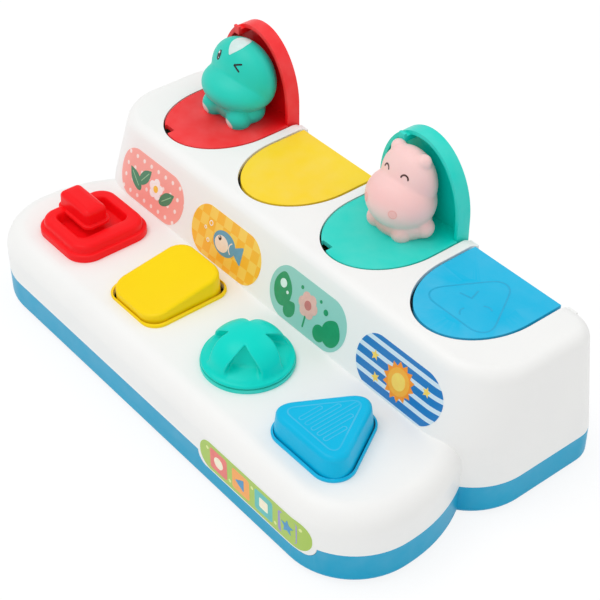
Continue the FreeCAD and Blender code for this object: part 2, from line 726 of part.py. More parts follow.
def make_rotor(colour):
    """Build one rotor: lid, rim, platform, tongue, ears and catch lug."""
    tag = "rot_%s" % colour
    shell = bowed_plate(tag + "_lid_out", lid_half, -s("lid_tail"), bow_start, s("lid_bow"),
                        -face, s("rim_deep") - face)
    place(shell, 0.0, 0.0, 0.0, (1, 0, 0), 90)
    hollow = bowed_plate(tag + "_lid_in", lid_half - rim_thick, -s("lid_tail") - 2, bow_start,
                         s("lid_bow") - rim_thick, lid_thick - face, s("rim_deep") - face + 2)
    place(hollow, 0.0, 0.0, 0.0, (1, 0, 0), 90)
    lid = cut(tag + "_lid", shell, hollow)
    plate = bowed_plate(tag + "_plate", s("plate_half"), 0.6, bow_start, s("plate_bow"),
                        face - s("plate_thick"), face)
    place(plate, 0.0, 0.0, 0.0, (0, 0, 1), 180)
    tongue = box(tag + "_tongue", -(lid_half - rim_thick), lid_half - rim_thick, -1.0,
                 face - lid_thick + 0.5, face - s("plate_thick"), face)
    parts = [lid, plate, tongue]
    for side in (-1, 1):
        outer = lid_half * side
        inner = (lid_half - s("ear_thick")) * side
        lo, hi = (inner, outer) if side > 0 else (outer, inner)
        label = "%s_ear_%d" % (tag, side + 1)
        parts.append(rod_x(label, s("ear_radius"), s("ear_thick"), lo, 0.0, 0.0))
        parts.append(box(label + "_root", lo, hi, -s("ear_radius") + 0.6, face - 1, 0.0, face - 1))
    catch = s("catch_side")
    parts.append(box(tag + "_lug", -catch - 2, -catch + 2, -3.2, face - lid_thick + 0.5,
                     s("catch_reach") - 4.6, s("catch_reach") - 1.6))
    parts.append(box(tag + "_ledge", -catch - 2, -catch + 2, -4.5, -3.0,
                     s("catch_reach") - 4.6, s("catch_reach")))
    away = [box(tag + "_nose_way", -catch - 3.5, -catch + 3.5, -s("catch_reach") - 8,
                -s("catch_reach") + 2.7, face - s("plate_thick") - 1, face + 1)]
    for side in (-1, 1):
        lo = -s("lid_half") - 1 if side < 0 else s("lid_half") - s("ear_thick") - 1
        away.append(rod_x("%s_bore_%d" % (tag, side + 1), s("pin_radius") + s("run_clear"),
                          s("ear_thick") + 2, lo, 0.0, 0.0))
    if colour == "blue":
        emblem = prism(tag + "_emblem", rounded_triangle(size(3.0), size(26.0), size(44.0), size(7.0)),
                       size(-face.value - 1), 0.7 - face)
        place(emblem, 0.0, 0.0, 0.0, (1, 0, 0), 90)
        away.append(emblem)
    return cut("rotor_%s" % colour, fuse(tag + "_full", parts), fuse(tag + "_away", away))


def seat(thing, colour, number):
    """Put a rotor or figure on its axis, turned down where the lid is closed."""
    angle = 90.0 if colour in CLOSED else 0.0
    return place(thing, s("pitch") * (number - 1.5), pivot_back, pivot_high, (1, 0, 0), angle)


def trimmed(name, parts, back_limit):
    """Join the blobs of a figure and cut it flat where it stands."""
    floor = box(name + "_floor", -40, 40, -70, 40, -30, face)
    behind = box(name + "_behind", -40, 40, back_limit, 60, -30, 90)
    return cut(name, chain(name + "_blobs", parts), fuse(name + "_trim", [floor, behind]))


def make_dino():
    """Build the teal animal: big head, broad muzzle under it, low body and two feet."""
    tag = "dino"
    parts = [
        blob(tag + "_head", (0, -7.4, 29.6), (22.5, 13.9, 20.0), 2),
        blob(tag + "_muzzle", (0, -11.9, 23.9), (21.9, 18.2, 12.0), -4),
        blob(tag + "_body", (0, -11.9, 12.6), (17.9, 12.9, 9.7), -11),
        ball(tag + "_foot_l", (-9.1, -20.6, 11.9), 7.1),
        ball(tag + "_foot_r", (10.6, -19.7, 11.3), 7.1),
    ]
    return trimmed("figure_dino", parts, 4.6)


def make_hippo():
    """Build the pink animal: tall head, heavy muzzle, ears, low body, arms and feet."""
    tag = "hippo"
    parts = [
        blob(tag + "_head", (0, -7.2, 32.6), (16.6, 11.4, 17.8)),
        blob(tag + "_muzzle", (0, -12.2, 23.6), (19.1, 16.8, 14.8), 3),
        blob(tag + "_body", (0, -10.5, 11.8), (16.4, 12.0, 9.8), -4),
        ball(tag + "_ear_l", (-8.8, -6.8, 46.8), 3.9),
        ball(tag + "_ear_r", (8.8, -6.6, 46.6), 4.0),
        ball(tag + "_arm_l", (-14.6, -10.5, 13.0), 5.4),
        ball(tag + "_arm_r", (14.8, -10.0, 12.8), 5.5),
        ball(tag + "_foot_l", (-8.6, -19.0, 11.0), 6.4),
        ball(tag + "_foot_r", (8.9, -18.6, 10.8), 6.5),
    ]
    return trimmed("figure_hippo", parts, 4.6)


def make_chick():
    """Build the chick under the yellow lid: round head, beak, low body and feet."""
    tag = "chick"
    parts = [
        blob(tag + "_head", (0, -9.0, 31.5), (18.5, 13.4, 17.0)),
        ball(tag + "_beak", (0.3, -22.6, 29.5), 3.9),
        blob(tag + "_body", (0, -11.0, 14.5), (16.5, 13.5, 11.5), 3),
        ball(tag + "_foot_l", (-7.6, -20.4, 10.2), 5.4),
        ball(tag + "_foot_r", (7.9, -20.0, 10.4), 5.5),
    ]
    return trimmed("figure_chick", parts, 4.6)


def make_cub():
    """Build the cub under the blue lid: maned head, muzzle, ears, low body and paws."""
    tag = "cub"
    parts = [
        blob(tag + "_mane", (0, -8.0, 31.0), (20.5, 11.5, 17.5)),
        ball(tag + "_face", (0, -13.6, 29.5), 13.2),
        ball(tag + "_ear_l", (-12.8, -8.2, 44.0), 4.4),
        ball(tag + "_ear_r", (13.0, -8.0, 43.8), 4.5),
        blob(tag + "_body", (0, -11.0, 13.5), (15.5, 12.5, 10.5), -4),
        ball(tag + "_paw_l", (-8.4, -19.6, 10.6), 5.9),
        ball(tag + "_paw_r", (8.7, -19.2, 10.8), 6.0),
    ]
    return trimmed("figure_cub", parts, 4.6)


rotors = {}
for colour, number in ROTORS:
    rotors[colour] = seat(make_rotor(colour), colour, number)
figure_dino = seat(make_dino(), "red", 0)
figure_chick = seat(make_chick(), "yellow", 1)
figure_hippo = seat(make_hippo(), "teal", 2)
figure_cub = seat(make_cub(), "blue", 3)

hinge_pins = group("hinge_pins", [
    rod_x("pin_%s" % colour, s("pin_radius"), s("pin_half") * 2,
          s("pitch") * (number - 1.5) - s("pin_half"), pivot_back, pivot_high)
    for colour, number in ROTORS
])


COIL_SIDES = 8


def coil(name, radius, wire, length, turns):
    """Make a light coil that rises along +Z: square wire bent in eight straight chords a turn."""
    path = doc.addObject("Part::Polygon", name + "_path")
    steps = turns * COIL_SIDES
    path.Nodes = [FreeCAD.Vector(radius * math.cos(2 * math.pi * k / COIL_SIDES),
                                 radius * math.sin(2 * math.pi * k / COIL_SIDES), length * k / steps)
                  for k in range(steps + 1)]
    path.Close = False
    ring = doc.addObject("Part::RegularPolygon", name + "_wire")
    ring.Polygon = 4
    ring.Circumradius = wire
    ring.Placement = FreeCAD.Placement(FreeCAD.Vector(radius, 0, 0),
                                       FreeCAD.Rotation(FreeCAD.Vector(1, 0, 0), 90))
    swept = doc.addObject("Part::Sweep", name)
    swept.Sections = [ring]
    swept.Spine = (path, [])
    swept.Solid = True
    swept.Frenet = True
    swept.Transition = "Right corner"
    return swept


torsion = []
for colour, number in ROTORS:
    spring = coil("torsion_%s" % colour, 2.8, 0.55, 9.0, 5)
    torsion.append(place(spring, s("pitch") * (number - 1.5) - 22.0, pivot_back, pivot_high,
                         (0, 1, 0), 90))
torsion_springs = group("torsion_springs", torsion)

# --------------------------------------------------------------------------------------------
# Latches
# --------------------------------------------------------------------------------------------
arm_front = s("arm_front")
arm_back = arm_front + s("arm_thick")
NIB_LONG = 8.3


def latch_parts(tag, x):
    """Build the bar, arm and hook nose that all four latches share."""
    bar = box(tag + "_bar", x - latch_half, x + latch_half, s("latch_front"), arm_back, latch_low,
              latch_top)
    arm = box(tag + "_arm", x - 2.5, x + 2.5, arm_front, arm_back, latch_low + 1,
              s("nose_low") + s("nose_high"))
    nose = box(tag + "_nose", x - 2.5, x + 2.5, arm_front + 1, s("nose_tip"), s("nose_low"),
               s("nose_low") + s("nose_high"))
    root = box(tag + "_root", x - 3.5, x + 3.5, arm_front - 3, arm_back, latch_low + 1, latch_top + 3)
    nib = rod(tag + "_nib", 1.2, NIB_LONG, x, s("latch_front") + 0.3, latch_low + s("latch_thick") * 0.5,
              (1, 0, 0), 90)
    return [bar, arm, nose, root, nib]


CRANK_PIN = 2.0
CRANK_DISC = 7.5
PLATE_THICK = 2.5
PIN_SLOT = 2.3
red_x, yellow_x, teal_x, blue_x = latch_x
latch_red = fuse("latch_red", latch_parts("latch_r", red_x) + [
    rod("latch_r_peg", CRANK_PIN, 5.8, red_x, knob_mid, latch_top - 1.0)])
latch_yellow = cut("latch_yellow", fuse("latch_y_full", latch_parts("latch_y", yellow_x)),
                   box("latch_y_slot", yellow_x - 3.1, yellow_x + 3.1, rocker_y - 2.4, rocker_y + 2.4,
                       latch_low - 1, latch_top + 1))
yoke = box("latch_t_yoke", teal_x, dial_x + 8.0, dial_y - 6.0, dial_y + 6.0, latch_low, latch_top)
throw_x = s("crank_throw") * math.cos(math.radians(30))
throw_y = s("crank_throw") * math.sin(math.radians(30))
yoke_slot = prism("latch_t_slot",
                  stadium(dial_x + throw_x - 0.6, dial_y + throw_y, dial_x + s("crank_throw") + 0.6,
                          dial_y + throw_y, PIN_SLOT), latch_low - 1, latch_top + 1)
latch_teal = cut("latch_teal", fuse("latch_t_full", latch_parts("latch_t", teal_x) + [yoke]), yoke_slot)


def slanted(name, outline, x0, x1):
    """Extrude a closed polygon, given as (y, z) points, from x0 to x1."""
    body = doc.addObject("PartDesign::Body", name)
    sketch = body.newObject("Sketcher::SketchObject", name + "_outline")
    sketch.AttachmentSupport = [(plane_of(body, "YZ_Plane"), "")]
    sketch.MapMode = "FlatFace"
    bind(sketch, "AttachmentOffset.Base.z", x0)
    count = len(outline)
    points = [(size(y).value, size(z).value) for y, z in outline]
    for i in range(count):
        a = points[i]
        b = points[(i + 1) % count]
        sketch.addGeometry(Part.LineSegment(FreeCAD.Vector(a[0], a[1], 0),
                                            FreeCAD.Vector(b[0], b[1], 0)), False)
    rules = []
    driven = []
    for i in range(count):
        rules.append(Sketcher.Constraint("Coincident", i, 2, (i + 1) % count, 1))
    for i in range(count):
        driven.append((len(rules), outline[i][0]))
        rules.append(Sketcher.Constraint("DistanceX", -1, 1, i, 1, points[i][0]))
        driven.append((len(rules), outline[i][1]))
        rules.append(Sketcher.Constraint("DistanceY", -1, 1, i, 1, points[i][1]))
    sketch.addConstraint(rules)
    for place_in_list, number in driven:
        if isinstance(number, Size):
            bind(sketch, "Constraints[%d]" % place_in_list, number)
    pad = body.newObject("PartDesign::Pad", name + "_pad")
    pad.Profile = sketch
    bind(pad, "Length", size(x1) - size(x0))
    body.Tip = pad
    return body


ramp_y = button_y + 5.25
ramp_high = 10.0
ramp = slanted("latch_b_ramp", [
    (ramp_y - 10.0, latch_top - 0.5), (ramp_y + 0.3, latch_top - 0.5),
    (ramp_y - 0.6 * ramp_high, latch_top + ramp_high), (ramp_y - 10.0, latch_top + ramp_high)],
    blue_x - latch_half, blue_x + latch_half)
latch_blue = fuse("latch_blue", latch_parts("latch_b", blue_x) + [ramp])

latch_spring_parts = []
for i, (colour, number) in enumerate(ROTORS):
    spring = coil("latch_coil_%s" % colour, 2.3, 0.5, 9.9, 4)
    latch_spring_parts.append(place(spring, latch_x[i], size(STOP_BACK + 0.55),
                                    latch_low + s("latch_thick") * 0.5, (1, 0, 0), -90))
latch_springs = group("latch_springs", latch_spring_parts)

cover_bar = box("cover_bar", latch_x[0] - 7, latch_x[3] + 7, COVER_FRONT, COVER_BACK,
                latch_top + 0.2, latch_top + 0.2 + COVER_THICK)
cover_holes = fuse("cover_bar_holes", [
    rod("cover_bar_hole_%d" % i, COVER_BORE, 6, x, COVER_MIDDLE, latch_top - 1)
    for i, x in enumerate(COVER_POSTS)])
latch_cover = cut("latch_cover", cover_bar, cover_holes)

# --------------------------------------------------------------------------------------------
# Slide switch
# --------------------------------------------------------------------------------------------
b_left = s("bezel_left")
b_right = s("bezel_right")
b_front = s("bezel_front")
b_back = s("bezel_back")
b_corner = s("bezel_corner")
b_step = s("bezel_step")
bezel_skirt = prism("bezel_skirt_solid", rounded_rectangle(b_left, b_right, b_front, b_back, b_corner),
                    deck_high, deck_high + s("bezel_skirt"), 1.2)
bezel_rim = prism("bezel_rim_solid",
                  rounded_rectangle(b_left + b_step, b_right - b_step, b_front + b_step, b_back - b_step,
                                    b_corner - b_step), deck_high, deck_high + s("bezel_high"), 2.6)
recess = prism("bezel_recess",
               rounded_rectangle(b_left + 8.5, b_right - 10.7, b_front + 9.3, b_back - 9.0, size(5.0)),
               deck_high + 2, deck_high + 20)
saddle = box("bezel_saddle", b_left - 5, b_right + 5, knob_mid - s("knob_wide") * 0.5 - 0.4,
             knob_mid + s("knob_wide") * 0.5 + 0.4, deck_high + s("knob_low") - 0.35, deck_high + 20)
bezel_slot = box("bezel_slot", slot_left, slot_right, knob_mid - 3.1, knob_mid + 3.1, deck_high - 1,
                 deck_high + 5)
switch_bezel = cut("switch_bezel", fuse("bezel_solid", [bezel_skirt, bezel_rim]),
                   fuse("bezel_away", [recess, saddle, bezel_slot]))

k_left = s("knob_left")
k_right = k_left + s("knob_long")
k_low = deck_high + s("knob_low")
k_high = deck_high + s("knob_high")
k_half = s("knob_wide") * 0.5
knob_block = prism("knob_block", [
    (k_right - 1.2, k_low + 1.0, size(1.0)), (k_right - 6.5, k_high - 3.2, size(3.0)),
    (k_left + 3.4, k_high - 3.2, size(3.2)), (k_left + 1.2, k_low + 1.0, size(1.0))],
    -knob_mid - k_half, -knob_mid + k_half, None, None, "XZ_Plane")
knob_parts = [knob_block, box("knob_stem", knob_x - 4, knob_x + 4, knob_mid - 2.6, knob_mid + 2.6,
                              latch_top + 5.0, k_low + 1.5)]
for i in range(5):
    tick_x = k_left + 7.5 + i * 3.4
    knob_parts.append(box("knob_tick_%d" % i, tick_x, tick_x + 1.2, knob_mid - k_half - 0.3,
                          knob_mid + k_half + 0.3, k_low + 1.6, k_low + 5.2))
switch_knob = fuse("switch_knob", knob_parts)

plate_solid = box("switch_plate_solid", red_x - 18.0, red_x + 5.5, knob_mid - 8.6, knob_mid + 5.9,
                  latch_top + PLATE_THICK, latch_top + PLATE_THICK * 2)
plate_slot = prism("switch_plate_slot",
                   stadium(red_x - s("knob_travel"), knob_mid - s("knob_travel") * 0.25, red_x,
                           knob_mid, PIN_SLOT), latch_top + 1, latch_top + 6)
switch_plate = cut("switch_plate", plate_solid, plate_slot)

# --------------------------------------------------------------------------------------------
# Rocker
# --------------------------------------------------------------------------------------------
r_long = s("rocker_long")
flange = s("rocker_flange")
r_corner = s("rocker_corner")
axis_high = s("rocker_axis")
rocker_flange_out = prism(
    "rocker_flange_out",
    rounded_rectangle(rocker_x - rocker_half - flange, rocker_x + rocker_half + flange,
                      rocker_y - r_long - flange + 0.9, rocker_y + r_long + flange - 0.9,
                      r_corner + 1.2), deck_high, deck_high + 1.5, 0.6)
rocker_flange_in = prism(
    "rocker_flange_in",
    rounded_rectangle(rocker_x - rocker_half - gap, rocker_x + rocker_half + gap,
                      rocker_y - r_long - gap, rocker_y + r_long + gap,
                      r_corner + gap), deck_high - 1, deck_high + 3)
rocker_base = cut("rocker_base", rocker_flange_out, rocker_flange_in)

skirt_low = axis_high - 2.5
# The rocker's corners are this much rounder than its opening's, so it clears them when tilted.
ROCKER_SWING = 2.6
rocker_plan = prism(
    "rocker_plan",
    rounded_rectangle(rocker_x - rocker_half, rocker_x + rocker_half, rocker_y - r_long,
                      rocker_y + r_long, r_corner + ROCKER_SWING), skirt_low, deck_high + 16)
rocker_side = slanted("rocker_side", [
    (rocker_y - r_long - 1, skirt_low - 1), (rocker_y + r_long - 0.4, skirt_low - 1),
    (rocker_y + r_long - 0.6, deck_high + 1.5), (rocker_y + r_long - 2.1, deck_high + s("rocker_back")),
    (rocker_y - r_long - 1, deck_high + s("rocker_front"))],
    rocker_x - rocker_half - 2, rocker_x + rocker_half + 2)
rocker_solid = common("rocker_solid", rocker_plan, rocker_side)
rocker_hollow = prism(
    "rocker_hollow",
    rounded_rectangle(rocker_x - rocker_half + 2.4, rocker_x + rocker_half - 2.4,
                      rocker_y - r_long + 2.4, rocker_y + r_long - 3.6, r_corner - 2.4),
    skirt_low - 1, deck_high + 2.6)
rocker_cap = cut("rocker_cap", rocker_solid, rocker_hollow)
hub = rod_x("rocker_hub", 3.4, 5.0, yellow_x - 2.5, rocker_y, axis_high)
web = box("rocker_web", yellow_x - 2.5, yellow_x + 2.5, rocker_y - 1.5, rocker_y + 1.5, axis_high,
          deck_high + 4)
finger = box("rocker_finger", yellow_x - 2.5, yellow_x + 2.5, rocker_y - 1.5, rocker_y + 1.5,
             latch_low + 0.5, axis_high)
rocker_full = fuse("rocker_full", [rocker_cap, hub, web, finger])
rocker = cut("rocker", rocker_full, rod_x("rocker_pin_way", s("pin_radius") + s("run_clear"),
                                          rocker_half * 2 + 2, rocker_x - rocker_half - 1, rocker_y,
                                          axis_high))
rocker_pin = rod_x("rocker_pin", s("pin_radius"), lug_in * 2 + 6.4, rocker_x - lug_in - 3.2, rocker_y,
                   axis_high)

# --------------------------------------------------------------------------------------------
# Dial
# --------------------------------------------------------------------------------------------
shaft = s("shaft_radius")
dial_base = cut("dial_base",
                rod("dial_ring_solid", s("dial_radius"), s("dial_ring"), dial_x, dial_y, deck_high),
                rod("dial_ring_hole", shaft + s("run_clear"), s("dial_ring") + 2, dial_x, dial_y,
                    deck_high - 1))
dome = s("dome_radius")
d_low = deck_high + s("dial_ring") + 0.3
d_flange = deck_high + s("dial_flange")
flange_disc = prism("dial_flange_disc", stadium(dial_x - 0.001, dial_y, dial_x + 0.001, dial_y,
                                                s("dial_radius") - 0.4), d_low, d_flange, 1.3)
dome_blob = blob("dial_dome", (dial_x, dial_y, d_flange - 3), (dome, dome,
                                                              s("dome_high") - s("dial_flange") + 3))
dome_low = box("dial_dome_low", dial_x - 30, dial_x + 30, dial_y - 30, dial_y + 30, deck_high - 20,
               d_flange - 1)
dome_top = cut("dial_dome_top", dome_blob, dome_low)
pockets = []
for i in range(4):
    pocket = doc.addObject("Part::Wedge", "dial_pocket_%d" % i)
    for edge, number in (("Xmin", s("pocket_half") * -1), ("Xmax", s("pocket_half")),
                         ("X2min", size(-0.3)), ("X2max", size(0.3)), ("Ymin", size(0.0)),
                         ("Ymax", s("dome_high") - s("dial_flange") + 1), ("Zmin", s("pocket_low")),
                         ("Z2min", s("pocket_top")), ("Zmax", dome + 10), ("Z2max", dome + 10)):
        bind(pocket, edge, number)
    upright = FreeCAD.Rotation(FreeCAD.Vector(0, 0, 1), 45 + 90 * i) * FreeCAD.Rotation(
        FreeCAD.Vector(1, 0, 0), 90)
    pockets.append(place(pocket, dial_x, dial_y, d_flange + 0.4, tuple(upright.Axis),
                         math.degrees(upright.Angle)))
dome_cut = cut("dial_dome_cut", dome_top, fuse("dial_pockets", pockets))
shaft_rod = rod("dial_shaft", shaft, d_low + 1 - latch_top - 5.0, dial_x, dial_y, latch_top + 5.0)
dial = fuse("dial", [flange_disc, dome_cut, shaft_rod])
dial_crank = fuse("dial_crank", [
    rod("crank_disc", CRANK_DISC, PLATE_THICK, dial_x, dial_y, latch_top + PLATE_THICK),
    rod("crank_pin", CRANK_PIN, 6.6, dial_x + throw_x, dial_y + throw_y, latch_low + 0.8)])

# --------------------------------------------------------------------------------------------
# Push button
# --------------------------------------------------------------------------------------------
button_side = s("button_side")
button_corner = s("button_corner")
button_base = cut("button_base",
                  prism("button_ring_out",
                        rounded_triangle(button_x, button_y, s("button_flange"), button_corner + 1.2),
                        deck_high, deck_high + 1.5, 0.6),
                  prism("button_ring_in", rounded_triangle(button_x, button_y, hole_side, hole_corner),
                        deck_high - 1, deck_high + 3))
button_cap = prism("button_cap", rounded_triangle(button_x, button_y, button_side, button_corner),
                   deck_high - 4, deck_high + s("button_high"), 3.0)
button_stop = prism("button_stop",
                    rounded_triangle(button_x, button_y, s("button_flange"), button_corner + 1.0),
                    deck_high - 5.6, deck_high - 3.0)
button_well = prism("button_well",
                    rounded_triangle(button_x, button_y, button_side - 8.5, button_corner - 3.0),
                    deck_high - 7, deck_high - 3.2)
leg_front = ramp_y + 0.25
leg_low = latch_top + 5.3
button_leg = slanted("button_leg", [
    (leg_front - 0.6 * 5.3, leg_low), (ramp_y + 4.0, leg_low), (ramp_y + 4.0, deck_high - 3.0),
    (leg_front - 0.6 * 12.0, deck_high - 3.0), (leg_front - 0.6 * 12.0, latch_top + 12.0)],
    blue_x - 3.5, blue_x + 3.5)
button_seat = rod("button_seat", 6.0, 3.2, spring_x, button_y, deck_high - 5.6)
button_shell = cut("button_shell", fuse("button_solid", [button_cap, button_stop]), button_well)
button_full = fuse("button_full", [button_shell, button_leg, button_seat])
GROOVE_HALF = 0.55
GROOVE_DEEP = 0.7
GROOVE_TURN = 30
grooves = []
for i in range(5):
    start = -14.0 + i * 1.6
    groove = box("button_groove_%d" % i, size(-GROOVE_HALF), size(GROOVE_HALF), size(start),
                 size(13.5 - i * 3.4), deck_high + s("button_high") - GROOVE_DEEP,
                 deck_high + s("button_high") + 1)
    across = 10.5 - i * 4.5 - GROOVE_HALF
    cosine = math.cos(math.radians(GROOVE_TURN))
    sine = math.sin(math.radians(GROOVE_TURN))
    grooves.append(place(groove, button_x + across * cosine - start * sine,
                         button_y + across * sine + start * cosine,
                         deck_high + s("button_high") - GROOVE_DEEP, (0, 0, 1), GROOVE_TURN))
button = cut("button", button_full, fuse("button_grooves", grooves))
button_spring = place(coil("button_spring", 4.3, 0.6, 10.4, 4), spring_x, button_y, size(26.7))

# --------------------------------------------------------------------------------------------
# Labels: thin skins that follow the riser and the tab
# --------------------------------------------------------------------------------------------
skin = s("label_thick")
riser_out = block_walls("riser_out", -skin, seam, [(crown_low, nothing)])
riser_in = block_walls("riser_in", nothing, seam - 1, [(crown_low + 1, nothing)])
labels = {}
for name, number in (("label_pink", 0), ("label_orange", 1), ("label_green", 2), ("label_navy", 3)):
    cx = s("pitch") * (number - 1.5)
    window = prism(name + "_window",
                   rounded_rectangle(cx - s("label_half"), cx + s("label_half"), s("label_low"),
                                     s("label_low") + s("label_high"), s("label_corner")),
                   size(-12.0), size(14.0), None, None, "XZ_Plane")
    labels[name] = cut(name, common(name + "_slab", riser_out, window), riser_in)
tab_label_ring = cut("tab_label_ring",
                     prism("tab_label_out", deck_discs(-skin), seam - 7, deck_high - 11),
                     prism("tab_label_in", deck_discs(nothing), seam - 8, deck_high - 10))
tab_label_window = prism("tab_label_window",
                         rounded_rectangle(s("tab_left") + 2, s("tab_right") - 2,
                                           seam - s("tab_drop") + 0.9, seam + 11.7, size(8.0)),
                         s("deck_front") * -1 - 16, s("deck_front") * -1 + 4, None, None, "XZ_Plane")
label_tab = common("label_tab", tab_label_ring, tab_label_window)

doc.recompute()

# --------------------------------------------------------------------------------------------
# Write out the pieces
# --------------------------------------------------------------------------------------------
NODES = [
    ("housing", housing), ("base_shell", base_shell), ("feet", feet), ("screws", screws),
    ("rotor_red", rotors["red"]), ("rotor_yellow", rotors["yellow"]),
    ("rotor_teal", rotors["teal"]), ("rotor_blue", rotors["blue"]),
    ("figure_dino", figure_dino), ("figure_chick", figure_chick),
    ("figure_hippo", figure_hippo), ("figure_cub", figure_cub),
    ("hinge_pins", hinge_pins), ("torsion_springs", torsion_springs),
    ("latch_red", latch_red), ("latch_yellow", latch_yellow),
    ("latch_teal", latch_teal), ("latch_blue", latch_blue),
    ("latch_springs", latch_springs), ("latch_cover", latch_cover),
    ("switch_bezel", switch_bezel), ("switch_knob", switch_knob), ("switch_plate", switch_plate),
    ("rocker_base", rocker_base), ("rocker", rocker), ("rocker_pin", rocker_pin),
    ("dial_base", dial_base), ("dial", dial), ("dial_crank", dial_crank),
    ("button_base", button_base), ("button", button), ("button_spring", button_spring),
    ("label_pink", labels["label_pink"]), ("label_orange", labels["label_orange"]),
    ("label_green", labels["label_green"]), ("label_navy", labels["label_navy"]),
    ("label_tab", label_tab),
]
for node, thing in NODES:
    thing.Label = node

faults = []
for thing in doc.Objects:
    if "Invalid" in thing.State or "Error" in thing.State:
        faults.append("%s: %s" % (thing.Name, ", ".join(thing.State)))
for node, thing in NODES:
    shape = thing.Shape
    if shape.isNull() or not shape.isValid() or not shape.Solids:
        faults.append("%s: shape not valid" % node)
if faults:
    raise RuntimeError("; ".join(faults))

os.makedirs("parts", exist_ok=True)
for node, thing in NODES:
    thing.Shape.exportStep(os.path.join("parts", node + ".step"))
    bounds = thing.Shape.BoundBox
    print("%-16s solids %d volume %.0f x %.1f..%.1f y %.1f..%.1f z %.1f..%.1f" % (
        node, len(thing.Shape.Solids), thing.Shape.Volume, bounds.XMin, bounds.XMax,
        bounds.YMin, bounds.YMax, bounds.ZMin, bounds.ZMax))
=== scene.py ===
"""Looks of the pop up animal toy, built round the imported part.

Every piece is in metres, in the part's own frame: +X along the row of controls, -Y towards the
player, +Z up. The case, the four rotors with their animals, the four controls and the latch
mechanism are dressed class by class, and main() at the end builds them in order.
"""
import logging
import math
from collections.abc import Callable, Iterable, Sequence
from dataclasses import dataclass
from enum import Enum

import bmesh
import bpy
from mathutils import Matrix, Vector
from mathutils.bvhtree import BVHTree


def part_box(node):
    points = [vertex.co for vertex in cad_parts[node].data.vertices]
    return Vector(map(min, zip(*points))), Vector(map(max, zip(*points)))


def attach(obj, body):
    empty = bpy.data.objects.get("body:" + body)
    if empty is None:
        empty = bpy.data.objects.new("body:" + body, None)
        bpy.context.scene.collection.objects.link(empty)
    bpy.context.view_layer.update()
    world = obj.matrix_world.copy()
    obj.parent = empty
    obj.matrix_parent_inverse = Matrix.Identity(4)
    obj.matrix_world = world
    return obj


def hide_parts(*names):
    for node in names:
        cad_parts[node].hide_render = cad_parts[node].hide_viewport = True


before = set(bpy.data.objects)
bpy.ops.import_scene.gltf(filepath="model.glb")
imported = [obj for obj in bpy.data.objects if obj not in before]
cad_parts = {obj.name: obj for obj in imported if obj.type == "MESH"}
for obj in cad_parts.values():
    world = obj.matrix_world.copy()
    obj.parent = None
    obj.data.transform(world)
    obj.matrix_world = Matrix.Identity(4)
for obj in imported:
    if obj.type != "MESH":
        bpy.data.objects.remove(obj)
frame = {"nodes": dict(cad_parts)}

LOG = logging.getLogger("toy")
MM = 0.001
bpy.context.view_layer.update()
Colour = tuple[float, float, float, float]
Place = tuple[float, float, float]
Point = tuple[float, float]
Feed = float | Colour | Place | bpy.types.NodeSocket
Feeds = dict[str | int, Feed]
WHITE: Colour = (1.0, 1.0, 1.0, 1.0)
UP = Vector((0.0, 0.0, 1.0))
RIGHT = Vector((1.0, 0.0, 0.0))


def shade(red: float, green: float, blue: float) -> Colour:
    """Turn a display colour into the linear colour that a socket holds.

    Args:
        red: red, 0 to 255.
        green: green, 0 to 255.
        blue: blue, 0 to 255.

    Returns:
        The linear colour with full alpha.
    """
    parts = [value / 255.0 for value in (red, green, blue)]
    lin = [p / 12.92 if p <= 0.04045 else ((p + 0.055) / 1.055) ** 2.4 for p in parts]
    return (lin[0], lin[1], lin[2], 1.0)


# --------------------------------------------------------------------------------------------
# Shared shader effects
# --------------------------------------------------------------------------------------------
class Socket(Enum):
    """The kinds of socket that an effect has."""

    NUMBER = "NodeSocketFloat"
    COLOUR = "NodeSocketColor"
    VECTOR = "NodeSocketVector"


